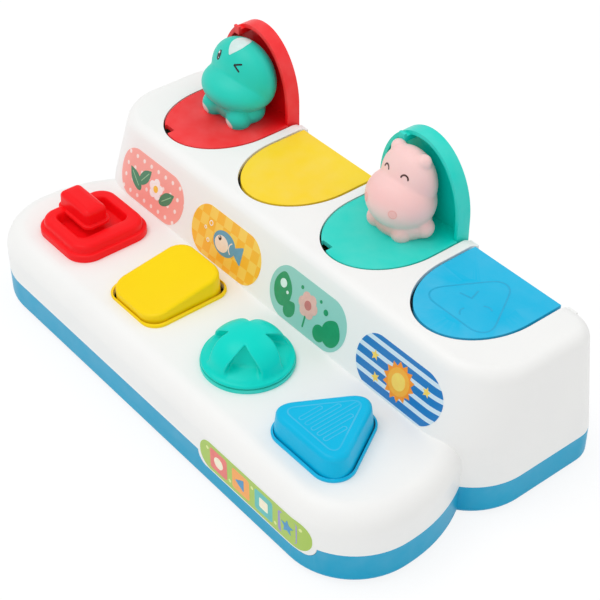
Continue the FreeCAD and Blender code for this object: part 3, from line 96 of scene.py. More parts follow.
class Nodes:
    """A shader node tree under construction."""

    # A Mix node's sockets for colours have no names of their own.
    mix_under = 6
    mix_over = 7
    mix_result = 2

    def __init__(self, tree: bpy.types.NodeTree) -> None:
        """Keep the tree.

        Args:
            tree: the tree that the nodes go in.
        """
        self.tree = tree

    def feed(self, node: bpy.types.Node, feeds: Feeds) -> None:
        """Fill a node's inputs.

        Args:
            node: the node.
            feeds: for each input, its constant or the socket that it is linked to.
        """
        for key, value in feeds.items():
            if isinstance(value, bpy.types.NodeSocket):
                self.tree.links.new(value, node.inputs[key])
            else:
                node.inputs[key].default_value = value

    def add(self, kind: str, feeds: Feeds | None = None, **settings: object) -> bpy.types.Node:
        """Add a node.

        Args:
            kind: its type, without the prefix that all shader nodes share.
            feeds: for each input, its constant or the socket that it is linked to.
            settings: its properties.

        Returns:
            The node.
        """
        node = self.tree.nodes.new(f"ShaderNode{kind}")
        for key, value in settings.items():
            setattr(node, key, value)
        self.feed(node, feeds or {})
        return node

    def maths(self, operation: str, *values: Feed) -> bpy.types.NodeSocket:
        """Give the result of a Math node."""
        return self.add("Math", dict(enumerate(values)), operation=operation).outputs[0]

    def vector(self, operation: str, result: str, *values: Feed) -> bpy.types.NodeSocket:
        """Give the named result of a Vector Math node."""
        return self.add("VectorMath", dict(enumerate(values)), operation=operation).outputs[result]

    def where(self) -> bpy.types.NodeSocket:
        """Give each point's place on the toy."""
        return self.add("TexCoord").outputs["Object"]

    def noise(self, scale: Feed, detail: float) -> bpy.types.NodeSocket:
        """Give a noise over the toy."""
        feeds = {"Vector": self.where(), "Scale": scale, "Detail": detail}
        return self.add("TexNoise", feeds).outputs["Fac"]

    def mix(self, share: Feed, under: Feed, over: Feed, blend: str = "MIX") -> bpy.types.NodeSocket:
        """Lay one colour over another.

        Args:
            share: how far the upper one covers the lower one, 0 to 1.
            under: the lower colour.
            over: the upper colour.
            blend: the way they blend.

        Returns:
            The mixed colour.
        """
        feeds = {"Factor": share, self.mix_under: under, self.mix_over: over}
        return self.add("Mix", feeds, data_type="RGBA", blend_type=blend).outputs[self.mix_result]


class Effect(Nodes):
    """A shader node group with named inputs and outputs, built once."""

    def __init__(self, name: str) -> None:
        """Start an empty group.

        Args:
            name: the group's name.
        """
        super().__init__(bpy.data.node_groups.new(name, "ShaderNodeTree"))
        self.inner = self.tree.nodes.new("NodeGroupInput")
        self.outer = self.tree.nodes.new("NodeGroupOutput")

    def take(self, name: str, kind: Socket, value: float | Colour | Place) -> None:
        """Add an input with its resting value."""
        made = self.tree.interface.new_socket(name, in_out="INPUT", socket_type=kind.value)
        made.default_value = value

    def give(self, name: str, kind: Socket, value: bpy.types.NodeSocket) -> None:
        """Add an output and feed it."""
        self.tree.interface.new_socket(name, in_out="OUTPUT", socket_type=kind.value)
        self.feed(self.outer, {name: value})


def tone_effect() -> bpy.types.NodeTree:
    """Build the group that lets a moulding's colour drift a little over its surface.

    Returns:
        The group.
    """
    effect = Effect("tone_drift")
    effect.take("Colour", Socket.COLOUR, (0.5, 0.5, 0.5, 1.0))
    effect.take("Other", Socket.COLOUR, (0.4, 0.4, 0.4, 1.0))
    effect.take("Size", Socket.NUMBER, 20.0)
    effect.take("Amount", Socket.NUMBER, 0.5)
    taken = effect.inner.outputs
    cloud = effect.noise(taken["Size"], 3.0)
    ends = {"Value": cloud, "From Min": 0.3, "From Max": 0.7, "To Max": taken["Amount"]}
    share = effect.add("MapRange", ends).outputs["Result"]
    effect.give("Colour", Socket.COLOUR, effect.mix(share, taken["Colour"], taken["Other"]))
    return effect.tree


def skin_effect() -> bpy.types.NodeTree:
    """Build the group that gives a moulding its fine skin: a height and a roughness.

    Returns:
        The group.
    """
    effect = Effect("mould_skin")
    effect.take("Grain", Socket.NUMBER, 900.0)
    effect.take("Rough", Socket.NUMBER, 0.35)
    effect.take("Swing", Socket.NUMBER, 0.06)
    taken = effect.inner.outputs
    effect.give("Height", Socket.NUMBER, effect.noise(taken["Grain"], 2.0))
    centred = effect.maths("SUBTRACT", effect.noise(60.0, 4.0), 0.5)
    rough = effect.maths("MULTIPLY_ADD", centred, taken["Swing"], taken["Rough"])
    effect.give("Rough", Socket.NUMBER, rough)
    return effect.tree


def edge_highlight_effect() -> bpy.types.NodeTree:
    """Build the group that masks a moulding's sharper outer edges for a painted highlight.

    Returns:
        The group.
    """
    effect = Effect("painted_edge_highlight")
    effect.take("Start", Socket.NUMBER, 0.52)
    effect.take("Full", Socket.NUMBER, 0.62)
    taken = effect.inner.outputs
    sharp = effect.add("NewGeometry").outputs["Pointiness"]
    reach = effect.add("MapRange", {"Value": sharp, "From Min": taken["Start"], "From Max": taken["Full"]})
    patchy_highlight = effect.maths("MULTIPLY", reach.outputs["Result"], effect.noise(90.0, 2.0))
    effect.give("Mask", Socket.NUMBER, patchy_highlight)
    return effect.tree


def spot_effect() -> bpy.types.NodeTree:
    """Build the group that masks an oval patch of paint round a point of the toy.

    Returns:
        The group.
    """
    effect = Effect("paint_spot")
    effect.take("Centre", Socket.VECTOR, (0.0, 0.0, 0.0))
    effect.take("Radii", Socket.VECTOR, (0.004, 0.004, 0.004))
    effect.take("Soft", Socket.NUMBER, 0.1)
    taken = effect.inner.outputs
    offset = effect.vector("SUBTRACT", "Vector", effect.where(), taken["Centre"])
    scaled = effect.vector("DIVIDE", "Vector", offset, taken["Radii"])
    far = effect.vector("LENGTH", "Value", scaled)
    start = effect.maths("SUBTRACT", 1.0, taken["Soft"])
    ends = {"Value": far, "From Min": start, "From Max": 1.0, "To Min": 1.0, "To Max": 0.0}
    fade = effect.add("MapRange", ends, interpolation_type="SMOOTHSTEP")
    effect.give("Mask", Socket.NUMBER, fade.outputs["Result"])
    return effect.tree


TONE = tone_effect()
SKIN = skin_effect()
EDGE_HIGHLIGHT = edge_highlight_effect()
SPOT = spot_effect()


# --------------------------------------------------------------------------------------------
# Finishes
# --------------------------------------------------------------------------------------------
@dataclass(frozen=True)
class Tone:
    """Two close colours that drift into each other."""

    colour: Colour
    other: Colour
    size: float
    amount: float


@dataclass(frozen=True)
class Skin:
    """A fine skin: how close its grain lies, how dull and uneven it is, and its relief in metres."""

    grain: float
    rough: float
    swing: float
    relief: float = 0.0
    depth: float = 0.00001


class Dress(Nodes):
    """A material under construction."""

    def __init__(self, name: str) -> None:
        """Start a material with a Principled shader.

        Args:
            name: the material's name.
        """
        self.made = bpy.data.materials.new(name)
        self.made.use_nodes = True
        super().__init__(self.made.node_tree)
        self.body = self.tree.nodes["Principled BSDF"]

    def effect(self, tree: bpy.types.NodeTree, **values: Feed) -> bpy.types.Node:
        """Add a shared effect with its own values."""
        return self.add("Group", values, node_tree=tree)

    def tone(self, tone: Tone) -> bpy.types.NodeSocket:
        """Give a drifting colour."""
        values = {"Colour": tone.colour, "Other": tone.other, "Size": tone.size, "Amount": tone.amount}
        return self.effect(TONE, **values).outputs["Colour"]

    def cover(self, colour: bpy.types.NodeSocket, skin: Skin) -> None:
        """Lay a colour and a skin on the surface.

        Args:
            colour: the colour.
            skin: the skin, which has a Bump node only where it has a relief.
        """
        fine = self.effect(SKIN, Grain=skin.grain, Rough=skin.rough, Swing=skin.swing).outputs
        self.feed(self.body, {"Base Color": colour, "Roughness": fine["Rough"]})
        if skin.relief > 0.0:
            feeds = {"Strength": skin.relief, "Distance": skin.depth, "Height": fine["Height"]}
            self.feed(self.body, {"Normal": self.add("Bump", feeds).outputs["Normal"]})


@dataclass(frozen=True)
class Plastic:
    """Moulded plastic: two close tones, a fine skin and a painted highlight along its sharper edges."""

    name: str
    colour: Colour
    other: Colour
    rough: float = 0.34
    specular: float = 0.4
    # The grey screened over the sharper edges as a painted highlight.
    edge_highlight_grey: Colour = (0.10, 0.10, 0.10, 1.0)

    def material(self) -> bpy.types.Material:
        """Build the material.

        Returns:
            The material.
        """
        dress = Dress(self.name)
        tone = dress.tone(Tone(self.colour, self.other, 26.0, 0.6))
        # Painted highlight: a pale grey screened over the sharper edges, broken up by noise.
        paler = dress.mix(dress.effect(EDGE_HIGHLIGHT).outputs["Mask"], tone, self.edge_highlight_grey, "SCREEN")
        dress.cover(paler, Skin(900.0, self.rough, 0.10, 0.25, 0.00002))
        dress.body.inputs["Specular IOR Level"].default_value = self.specular
        return dress.made


@dataclass(frozen=True)
class Spot:
    """One soft-edged patch of colour on a figure, sprayed paint or painted shade, in millimetres in its
    rotor's frame.
    """

    centre: Place
    radii: Place
    colour: Colour
    soft: float


@dataclass(frozen=True)
class Vinyl:
    """Soft vinyl: silky, slightly glowing, with soft patches of sprayed paint and of painted shade."""

    name: str
    colour: Colour
    other: Colour
    spots: tuple[Spot, ...]
    place: Matrix

    def material(self) -> bpy.types.Material:
        """Build the material.

        Returns:
            The material.
        """
        dress = Dress(self.name)
        shown = dress.tone(Tone(self.colour, self.other, 45.0, 0.7))
        for spot in self.spots:
            centre = self.place @ (Vector(spot.centre) * MM)
            radii = Vector(spot.radii) * MM
            mask = dress.effect(SPOT, Centre=tuple(centre), Radii=tuple(radii), Soft=spot.soft)
            shown = dress.mix(mask.outputs["Mask"], shown, spot.colour)
        dress.cover(shown, Skin(1400.0, 0.5, 0.12, 0.3, 0.00003))
        dress.body.inputs["Subsurface Weight"].default_value = 0.12
        dress.body.inputs["Subsurface Radius"].default_value = (1.0, 0.7, 0.6)
        dress.body.inputs["Subsurface Scale"].default_value = 0.0015
        dress.body.inputs["Sheen Weight"].default_value = 0.08
        return dress.made


class Pattern(Enum):
    """The printed grounds of the labels."""

    PLAIN = "plain"
    DOTS = "dots"
    CHECK = "check"
    STRIPES = "stripes"


@dataclass(frozen=True)
class Film:
    """Printed label film: a plain, dotted, checked or striped ground with a smooth skin."""

    name: str
    ground: Colour
    second: Colour
    pattern: Pattern = Pattern.PLAIN
    pitch: float = 0.006
    dot: float = 0.17
    gap: float = 0.62

    def material(self) -> bpy.types.Material:
        """Build the material.

        Returns:
            The material.
        """
        dress = Dress(self.name)
        tint = tuple(value * 0.93 for value in self.ground[:3]) + (1.0,)
        shown = dress.tone(Tone(self.ground, tint, 120.0, 0.2))
        if self.pattern is not Pattern.PLAIN:
            shown = dress.mix(self.mask(dress), shown, self.second)
        dress.cover(shown, Skin(3000.0, 0.36, 0.1, 0.2))
        return dress.made

    def mask(self, dress: Dress) -> bpy.types.NodeSocket:
        """Build the pattern's mask from the film's own place.

        Args:
            dress: the material under construction.

        Returns:
            The socket that is 1 where the second colour shows.
        """
        scale = (1.0 / self.pitch, 0.0, 1.0 / self.pitch)
        cells = {"Vector": dress.where(), "Scale": scale, "Location": (0.25, 0.25, 0.25)}
        cell = dress.add("Mapping", cells).outputs["Vector"]
        if self.pattern is Pattern.CHECK:
            return dress.add("TexChecker", {"Vector": cell, "Scale": 1.0}).outputs["Fac"]
        part = dress.vector("FRACTION", "Vector", cell)
        if self.pattern is Pattern.DOTS:
            far = dress.vector("DISTANCE", "Value", part, (0.5, 0.25, 0.5))
            return dress.maths("LESS_THAN", far, self.dot)
        height = dress.add("SeparateXYZ", {"Vector": part}).outputs["Z"]
        return dress.maths("GREATER_THAN", height, self.gap)


@dataclass(frozen=True)
class Ink:
    """Printed or painted ink: one colour with a faint mottle."""

    name: str
    colour: Colour
    rough: float = 0.4

    def material(self) -> bpy.types.Material:
        """Build the material.

        Returns:
            The material.
        """
        dress = Dress(self.name)
        other = tuple(min(1.0, value * 1.12 + 0.004) for value in self.colour[:3]) + (1.0,)
        dress.cover(dress.tone(Tone(self.colour, other, 400.0, 0.8)), Skin(3000.0, self.rough, 0.1))
        return dress.made


@dataclass(frozen=True)
class Fitting:
    """A fitting's steel or rubber: two tones and a skin."""

    name: str
    tone: Tone
    skin: Skin
    metal: float = 0.0

    def material(self) -> bpy.types.Material:
        """Build the material.

        Returns:
            The material.
        """
        dress = Dress(self.name)
        dress.cover(dress.tone(self.tone), self.skin)
        dress.body.inputs["Metallic"].default_value = self.metal
        return dress.made


@dataclass(frozen=True)
class Finishes:
    """Every finish of the toy's mouldings and fittings, made once."""

    white: bpy.types.Material
    base_blue: bpy.types.Material
    latch_white: bpy.types.Material
    steel: bpy.types.Material
    rubber: bpy.types.Material
    red: bpy.types.Material
    yellow: bpy.types.Material
    teal: bpy.types.Material
    blue: bpy.types.Material


def make_finishes() -> Finishes:
    """Build every finish.

    Returns:
        The set of materials.
    """
    gloss = 0.16
    steel = Tone(shade(196, 198, 203), shade(150, 152, 158), 300.0, 0.8)
    rubber = Tone(shade(52, 52, 55), shade(70, 70, 74), 200.0, 0.5)
    return Finishes(
        white=Plastic("housing_white", shade(250, 250, 248), shade(246, 246, 245), 0.42).material(),
        base_blue=Plastic("base_blue", shade(0, 168, 210), shade(0, 162, 204), 0.38, gloss).material(),
        latch_white=Plastic("latch_white", shade(226, 226, 222), shade(216, 217, 214), 0.5).material(),
        steel=Fitting("steel", steel, Skin(2500.0, 0.3, 0.2, 0.3), 1.0).material(),
        rubber=Fitting("foot_rubber", rubber, Skin(1800.0, 0.8, 0.15, 0.5, 0.00006)).material(),
        red=Plastic("red", shade(255, 20, 28), shade(250, 14, 22), 0.32, gloss).material(),
        yellow=Plastic("yellow", shade(255, 220, 0), shade(255, 213, 0), 0.34, gloss).material(),
        teal=Plastic("teal", shade(0, 222, 206), shade(0, 214, 198), 0.32, gloss).material(),
        blue=Plastic("blue", shade(0, 190, 234), shade(0, 183, 229), 0.32, gloss).material(),
    )


# --------------------------------------------------------------------------------------------
# Making and finishing pieces
# --------------------------------------------------------------------------------------------
def put(name: str, data: bpy.types.ID) -> bpy.types.Object:
    """Put an object in the scene.

    Args:
        name: its name.
        data: its mesh, lamp or camera.

    Returns:
        The object.
    """
    made = bpy.data.objects.new(name, data)
    bpy.context.scene.collection.objects.link(made)
    return made


def finish_piece(mesh: bmesh.types.BMesh, name: str, body: str,
                 materials: Sequence[bpy.types.Material], replaced: Sequence[str] = ()) -> bpy.types.Object:
    """Turn a mesh into a piece that rides on a body.

    Args:
        mesh: the finished mesh, in metres in the part's frame.
        name: the piece's name.
        body: the body that carries it.
        materials: its materials, in the order of its faces' indices.
        replaced: the nodes that it stands for.

    Returns:
        The new object.
    """
    data = bpy.data.meshes.new(name)
    mesh.to_mesh(data)
    mesh.free()
    made = put(name, data)
    for material in materials:
        data.materials.append(material)
    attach(made, body)
    if replaced:
        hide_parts(*replaced)
    return made


def mark_crisp(mesh: bmesh.types.BMesh, angle: float) -> None:
    """Shade every face smoothly and keep the sharper edges crisp.

    Args:
        mesh: the mesh.
        angle: the angle in radians from which an edge stays crisp.
    """
    for face in mesh.faces:
        face.smooth = True
    for edge in mesh.edges:
        if len(edge.link_faces) == 2:
            edge.smooth = edge.calc_face_angle(0.0) < angle


def smooth(mesh: bmesh.types.BMesh, verts: Iterable[bmesh.types.BMVert]) -> None:
    """Move each corner halfway to the middle of its neighbours."""
    bmesh.ops.smooth_vert(mesh, verts=verts, factor=0.5, use_axis_x=True, use_axis_y=True, use_axis_z=True)



class NodeDresser:
    """Finishes the carried-over nodes: welded, softened at their edges and given a material."""

    def __init__(self, nodes: dict[str, bpy.types.Object]) -> None:
        """Keep the nodes.

        Args:
            nodes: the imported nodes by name.
        """
        self.nodes = nodes

    def dress(self, name: str, material: bpy.types.Material, soften: float = 0.0) -> None:
        """Give a node its material and even shading.

        Args:
            name: the node.
            material: its finish.
            soften: radius of the softened edges in metres, or 0 for none.
        """
        node = self.nodes[name]
        node.data.materials.clear()
        node.data.materials.append(material)
        for face in node.data.polygons:
            face.use_smooth = True
        weld = node.modifiers.new("weld", "WELD")
        weld.merge_threshold = 0.000002
        if soften > 0.0:
            flat = node.modifiers.new("flat", "DECIMATE")
            flat.decimate_type = "DISSOLVE"
            flat.angle_limit = math.radians(0.6)
            bevel = node.modifiers.new("soften", "BEVEL")
            bevel.width = soften
            bevel.segments = 2
            bevel.limit_method = "ANGLE"
            bevel.angle_limit = math.radians(40)
        split = node.modifiers.new("crisp", "EDGE_SPLIT")
        split.split_angle = math.radians(35)
        even = node.modifiers.new("even", "WEIGHTED_NORMAL")
        even.keep_sharp = True


class Rotor(Enum):
    """The four rotors: colour, place in the row and whether the lid is shut at rest."""

    RED = ("red", 0, False)
    YELLOW = ("yellow", 1, True)
    TEAL = ("teal", 2, False)
    BLUE = ("blue", 3, True)

    def __init__(self, colour: str, number: int, shut: bool) -> None:
        """Keep the rotor's facts.

        Args:
            colour: its colour.
            number: its place in the row, from 0.
            shut: whether its lid is shut at rest.
        """
        self.colour = colour
        self.number = number
        self.shut = shut

    @property
    def body(self) -> str:
        """Name the body that carries the rotor."""
        return f"{self.colour}_rotor"

    def place(self) -> Matrix:
        """Give the matrix from the rotor's own frame to the toy's, both in metres."""
        spot = Matrix.Translation((66.0 * MM * (self.number - 1.5), 68.15 * MM, 73.35 * MM))
        return spot @ Matrix.Rotation(math.radians(90.0 if self.shut else 0.0), 4, "X")


def copied(source: bmesh.types.BMesh) -> bpy.types.Mesh:
    """Store a mesh under construction as mesh data and free it.

    Args:
        source: the mesh, which is used up.

    Returns:
        The mesh data.
    """
    data = bpy.data.meshes.new("rough")
    source.to_mesh(data)
    source.free()
    return data


def surface_of(node: bpy.types.Object) -> BVHTree:
    """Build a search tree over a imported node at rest.

    Args:
        node: the node.

    Returns:
        The tree.
    """
    data = node.data
    return BVHTree.FromPolygons([vert.co for vert in data.vertices],
                                [tuple(face.vertices) for face in data.polygons])


def facing(spot: Vector, outward: Vector, side: Vector) -> Matrix:
    """Build the frame of a drawing: X along the side, Z outwards from the surface.

    Args:
        spot: its middle.
        outward: the surface's normal.
        side: the way that the drawing's X should run.

    Returns:
        The matrix from the drawing's frame to the surface's.
    """
    out = outward.normalized()
    across = (side - out * side.dot(out)).normalized()
    up = out.cross(across)
    turn = Matrix((across, up, out)).transposed().to_4x4()
    return Matrix.Translation(spot) @ turn


# --------------------------------------------------------------------------------------------
# Flat shapes and prints
# --------------------------------------------------------------------------------------------
class Flat:
    """Makes the flat shapes that prints and inlays are drawn from, in millimetres."""

    @staticmethod
    def disc(wide: float, high: float, sides: int = 30, narrow: float = 0.0) -> bmesh.types.BMesh:
        """Make an oval, or with narrow above 0 a leaf or drop whose upper end tapers.

        Args:
            wide: half its width.
            high: half its height.
            sides: how many corners it has.
            narrow: how far its upper end tapers, 0 to 1.

        Returns:
            The flat mesh.
        """
        made = bmesh.new()
        bmesh.ops.create_circle(made, cap_ends=True, cap_tris=True, segments=sides, radius=1.0)
        for vert in made.verts:
            vert.co.x *= 1.0 - narrow * max(0.0, vert.co.y) ** 2
        bmesh.ops.scale(made, vec=(wide, high, 1.0), verts=made.verts)
        return made

    @staticmethod
    def star(outer: float, inner: float, points: int) -> bmesh.types.BMesh:
        """Make a star, or a sun when it has many points.

        Args:
            outer: the radius of its points.
            inner: the radius between its points.
            points: how many points it has.

        Returns:
            The flat mesh.
        """
        made = bmesh.new()
        bmesh.ops.create_circle(made, cap_ends=True, cap_tris=True, segments=points * 2, radius=outer)
        ring = [vert for vert in made.verts if vert.co.length > outer * 0.5]
        ring.sort(key=lambda vert: math.atan2(vert.co.y, vert.co.x))
        bmesh.ops.scale(made, vec=(inner / outer, inner / outer, 1.0), verts=ring[::2])
        return made

    @staticmethod
    def polygon(sides: int, radius: float, soft: float) -> bmesh.types.BMesh:
        """Make a polygon with rounded corners.

        Args:
            sides: how many sides it has.
            radius: its radius to a corner before the rounding.
            soft: how far from each corner the rounding starts.

        Returns:
            The flat mesh.
        """
        made = bmesh.new()
        bmesh.ops.create_circle(made, cap_ends=True, segments=sides, radius=radius)
        turn = math.radians(180.0 / sides if sides % 2 == 0 else 0.0)
        bmesh.ops.rotate(made, verts=made.verts, cent=(0, 0, 0), matrix=Matrix.Rotation(turn, 3, "Z"))
        bmesh.ops.bevel(made, geom=list(made.verts), offset=soft, segments=8, profile=0.5, material=-1,
                        affect="VERTICES")
        return made

    @staticmethod
    def along(x: float, y: float, radius: float, turns: Sequence[float]) -> list[Point]:
        """Give the points of a circle at the given turns, in radians."""
        return [(x + radius * math.cos(turn), y + radius * math.sin(turn)) for turn in turns]

    @staticmethod
    def traced(points: Sequence[Point]) -> bmesh.types.BMesh:
        """Make one flat face.

        Args:
            points: its corners, in turn.

        Returns:
            The flat mesh.
        """
        made = bmesh.new()
        bmesh.ops.create_circle(made, cap_ends=True, segments=len(points), radius=1.0)
        for vert, (x, y) in zip(made.verts, points):
            vert.co.x, vert.co.y = x, y
        return made

    @staticmethod
    def border(shape: bmesh.types.BMesh, width: float) -> bmesh.types.BMesh:
        """Keep only a border of a flat shape.

        Args:
            shape: the flat shape, which is changed.
            width: the border's width.

        Returns:
            The same mesh.
        """
        inner = list(shape.faces)
        bmesh.ops.inset_individual(shape, faces=inner, thickness=width, use_even_offset=True)
        bmesh.ops.delete(shape, geom=inner, context="FACES_ONLY")
        return shape

    @staticmethod
    def ring(radius: float, width: float) -> bmesh.types.BMesh:
        """Make a round ring."""
        return Flat.border(Flat.polygon(28, radius, 0.01), width)

    @staticmethod
    def arc(radius: float, start: float, sweep: float, width: float) -> bmesh.types.BMesh:
        """Make a curved stroke with round ends.

        Args:
            radius: the curve's radius.
            start: where it starts, in degrees.
            sweep: how far it goes, in degrees.
            width: the stroke's width.

        Returns:
            The flat mesh.
        """
        half, steps, caps = width * 0.5, max(8, int(sweep / 9)), 6
        first, last = math.radians(start), math.radians(start + sweep)
        turns = [first + (last - first) * step / steps for step in range(steps + 1)]
        points = Flat.along(0.0, 0.0, radius + half, turns)
        for end, base in ((last, last), (first, first + math.pi)):
            cap = [base + math.pi * step / caps for step in range(1, caps)]
            points += Flat.along(radius * math.cos(end), radius * math.sin(end), half, cap)
            if end == last:
                points += Flat.along(0.0, 0.0, radius - half, turns[::-1])
        return Flat.traced(points)

    @staticmethod
    def bar(length: float, width: float) -> bmesh.types.BMesh:
        """Make a straight stroke with round ends.

        Args:
            length: how far its ends' middles lie apart.
            width: the stroke's width.

        Returns:
            The flat mesh.
        """
        made = bmesh.new()
        bmesh.ops.create_circle(made, cap_ends=True, segments=20, radius=width * 0.5,
                                matrix=Matrix.Rotation(math.radians(9.0), 4, "Z"))
        for vert in made.verts:
            vert.co.x += math.copysign(length * 0.5, vert.co.x)
        return made

    @staticmethod
    def hairpin(wide: float, low: float, high: float, width: float) -> bmesh.types.BMesh:
        """Make a narrow upright loop.

        Args:
            wide: half its width.
            low: the height of its lower end's middle.
            high: the height of its upper end's middle.
            width: the stroke's width.

        Returns:
            The flat mesh.
        """
        steps = 8
        turns = [math.pi * step / steps for step in range(steps + 1)]
        points = Flat.along(0.0, high, wide, turns)
        points += Flat.along(0.0, low, wide, [turn + math.pi for turn in turns])
        return Flat.border(Flat.traced(points), width)


class Prints:
    """Collects flat shapes that are pressed onto one surface in thin closed layers."""

    # How far one layer lies over another, and how far from the surface it is looked for, in millimetres.
    layer = 0.06
    reach = 8.0

    def __init__(self, surface: BVHTree, thick: float, bend: int = 0, proud: float = 0.04,
                 place: Matrix | None = None) -> None:
        """Start with nothing printed.

        Args:
            surface: the surface that the shapes lie on.
            thick: the ink's thickness in millimetres.
            bend: how often each shape's edges are divided so that it can follow a curve.
            proud: how far the lowest layer stands out of the surface, in millimetres.
            place: the drawing's frame, in metres.
        """
        self.surface = surface
        self.thick = thick
        self.bend = bend
        self.proud = proud
        self.place = place
        self.total = bmesh.new()

    def aim(self, x: float, y: float, z: float) -> None:
        """Draw from now on round the surface's nearest spot to a point, in millimetres."""
        spot, normal, _, _ = self.surface.find_nearest(Vector((x, y, z)) * MM)
        self.place = facing(spot, normal, RIGHT)

    def lay(self, shape: bmesh.types.BMesh, x: float = 0.0, y: float = 0.0, ink: int = 0,
            turn: float = 0.0, tier: float = 0.0) -> None:
        """Press one shape onto the surface.

        Args:
            shape: the flat shape, which is used up.
            x: the shape's place in the drawing, in millimetres.
            y: the same, upwards.
            ink: the index of its material.
            turn: its turn in degrees.
            tier: how many layers lie under it.
        """
        move = Matrix.Translation((x, y, 0.0)) @ Matrix.Rotation(math.radians(turn), 4, "Z")
        bmesh.ops.transform(shape, matrix=move, verts=shape.verts)
        if self.bend:
            bmesh.ops.triangulate(shape, faces=shape.faces)
            long = [edge for edge in shape.edges if edge.calc_length() > 0.8]
            bmesh.ops.subdivide_edges(shape, edges=long, cuts=self.bend)
            bmesh.ops.triangulate(shape, faces=shape.faces)
        out = (self.place.to_3x3() @ UP).normalized()
        rise = self.proud + self.layer * tier
        for vert in shape.verts:
            above = self.place @ (vert.co * MM + Vector((0.0, 0.0, self.reach * MM)))
            hit, normal, _, _ = self.surface.ray_cast(above, -out, 3.0 * self.reach * MM)
            if hit is None:
                hit, normal = self.place @ (vert.co * MM), out
            normal = normal if normal.dot(out) > 0.0 else -normal
            vert.co = hit + normal * (rise * MM)
        for face in shape.faces:
            face.normal_update()
            if face.normal.dot(out) < 0.0:
                face.normal_flip()
            face.material_index = ink
        grown = bmesh.ops.extrude_face_region(shape, geom=list(shape.faces), use_keep_orig=True)
        low = [item for item in grown["geom"] if isinstance(item, bmesh.types.BMVert)]
        bmesh.ops.translate(shape, verts=low, vec=-out * ((self.thick + rise) * MM))
        for face in shape.faces:
            face.material_index = ink
        bmesh.ops.recalc_face_normals(shape, faces=shape.faces)
        mark_crisp(shape, math.radians(50))
        data = copied(shape)
        self.total.from_mesh(data)
        bpy.data.meshes.remove(data)

    def finish(self, name: str, body: str, slot: str, inks: Sequence[bpy.types.Material],
               move: Matrix | None = None) -> bpy.types.Object:
        """Turn the prints into a piece.

        Args:
            name: the piece's name.
            body: the body that carries it.
            slot: not used.
            inks: its inks, in the order of the shapes' indices.
            move: where it goes from the frame that it was drawn in.

        Returns:
            The new object.
        """
        if move is not None:
            bmesh.ops.transform(self.total, matrix=move, verts=self.total.verts)
        LOG.info("prints %s: %d faces", name, len(self.total.faces))
        return finish_piece(self.total, name, body, inks)


# --------------------------------------------------------------------------------------------
# Animal figures
# --------------------------------------------------------------------------------------------
@dataclass(frozen=True)
class Lump:
    """One rounded mass of a figure, in millimetres in its rotor's frame."""

    middle: Place
    radii: Place
    lean: float = 0.0

    def matrix(self) -> Matrix:
        """Give the matrix that turns a unit ball into the mass.

        Returns:
            The matrix, in metres.
        """
        spot = Matrix.Translation(Vector(self.middle) * MM)
        size = Matrix.Diagonal([radius * MM for radius in self.radii] + [1.0])
        return spot @ Matrix.Rotation(math.radians(self.lean), 4, "X") @ size


@dataclass(frozen=True)
class Figure:
    """A soft vinyl animal that sits on a rotor's platform, and the marks painted on it."""

    name: str
    slot: str
    rotor: Rotor
    colour: Colour
    other: Colour
    spots: tuple[Spot, ...]
    lumps: tuple[Lump, ...]
    marks: Callable[[Prints], None]
    inks: tuple[Ink, ...]
    voxel: float = 0.62
    passes: int = 3
    seat: float = 7.65
    back: float = 4.6

    def build(self) -> None:
        """Model the figure, seat it, paint its marks and put it on its rotor."""
        mesh = self.merged()
        for _ in range(self.passes):
            smooth(mesh, mesh.verts)
        self.trim(mesh, Vector((0.0, 0.0, self.seat * MM)), UP)
        self.trim(mesh, Vector((0.0, self.back * MM, 0.0)), Vector((0.0, -1.0, 0.0)))
        bmesh.ops.recalc_face_normals(mesh, faces=mesh.faces)
        mark_crisp(mesh, math.radians(50))
        prints = Prints(BVHTree.FromBMesh(mesh), thick=0.4, bend=3, proud=0.12)
        self.marks(prints)
        place = self.rotor.place()
        bmesh.ops.transform(mesh, matrix=place, verts=mesh.verts)
        LOG.info("figure %s: %d faces", self.name, len(mesh.faces))
        vinyl = Vinyl(self.slot, self.colour, self.other, self.spots, place)
        finish_piece(mesh, f"{self.name}_skin", self.rotor.body, [vinyl.material()],
                     [f"figure_{self.name}"])
        prints.finish(f"{self.name}_marks", self.rotor.body, self.slot,
                      [ink.material() for ink in self.inks], place)

    def merged(self) -> bmesh.types.BMesh:
        """Melt the masses into one closed skin.

        Returns:
            The skin in the rotor's frame.
        """
        rough = bmesh.new()
        for lump in self.lumps:
            bmesh.ops.create_icosphere(rough, subdivisions=5, radius=1.0, matrix=lump.matrix())
        data = copied(rough)
        holder = put("rough", data)
        melt = holder.modifiers.new("melt", "REMESH")
        melt.mode = "VOXEL"
        melt.voxel_size = self.voxel * MM
        bpy.context.view_layer.update()
        solid = holder.evaluated_get(bpy.context.evaluated_depsgraph_get())
        mesh = bmesh.new()
        mesh.from_mesh(solid.to_mesh())
        solid.to_mesh_clear()
        bpy.data.objects.remove(holder)
        bpy.data.meshes.remove(data)
        return mesh

    def trim(self, mesh: bmesh.types.BMesh, spot: Vector, keep: Vector) -> None:
        """Cut the skin flat at a plane and close the cut.

        Args:
            mesh: the skin.
            spot: a point of the plane.
            keep: the way that the kept side lies.
        """
        bmesh.ops.bisect_plane(mesh, geom=list(mesh.verts) + list(mesh.edges) + list(mesh.faces),
                               plane_co=spot, plane_no=keep, clear_inner=True)
        rim = [edge for edge in mesh.edges if edge.is_boundary]
        bmesh.ops.holes_fill(mesh, edges=rim, sides=0)


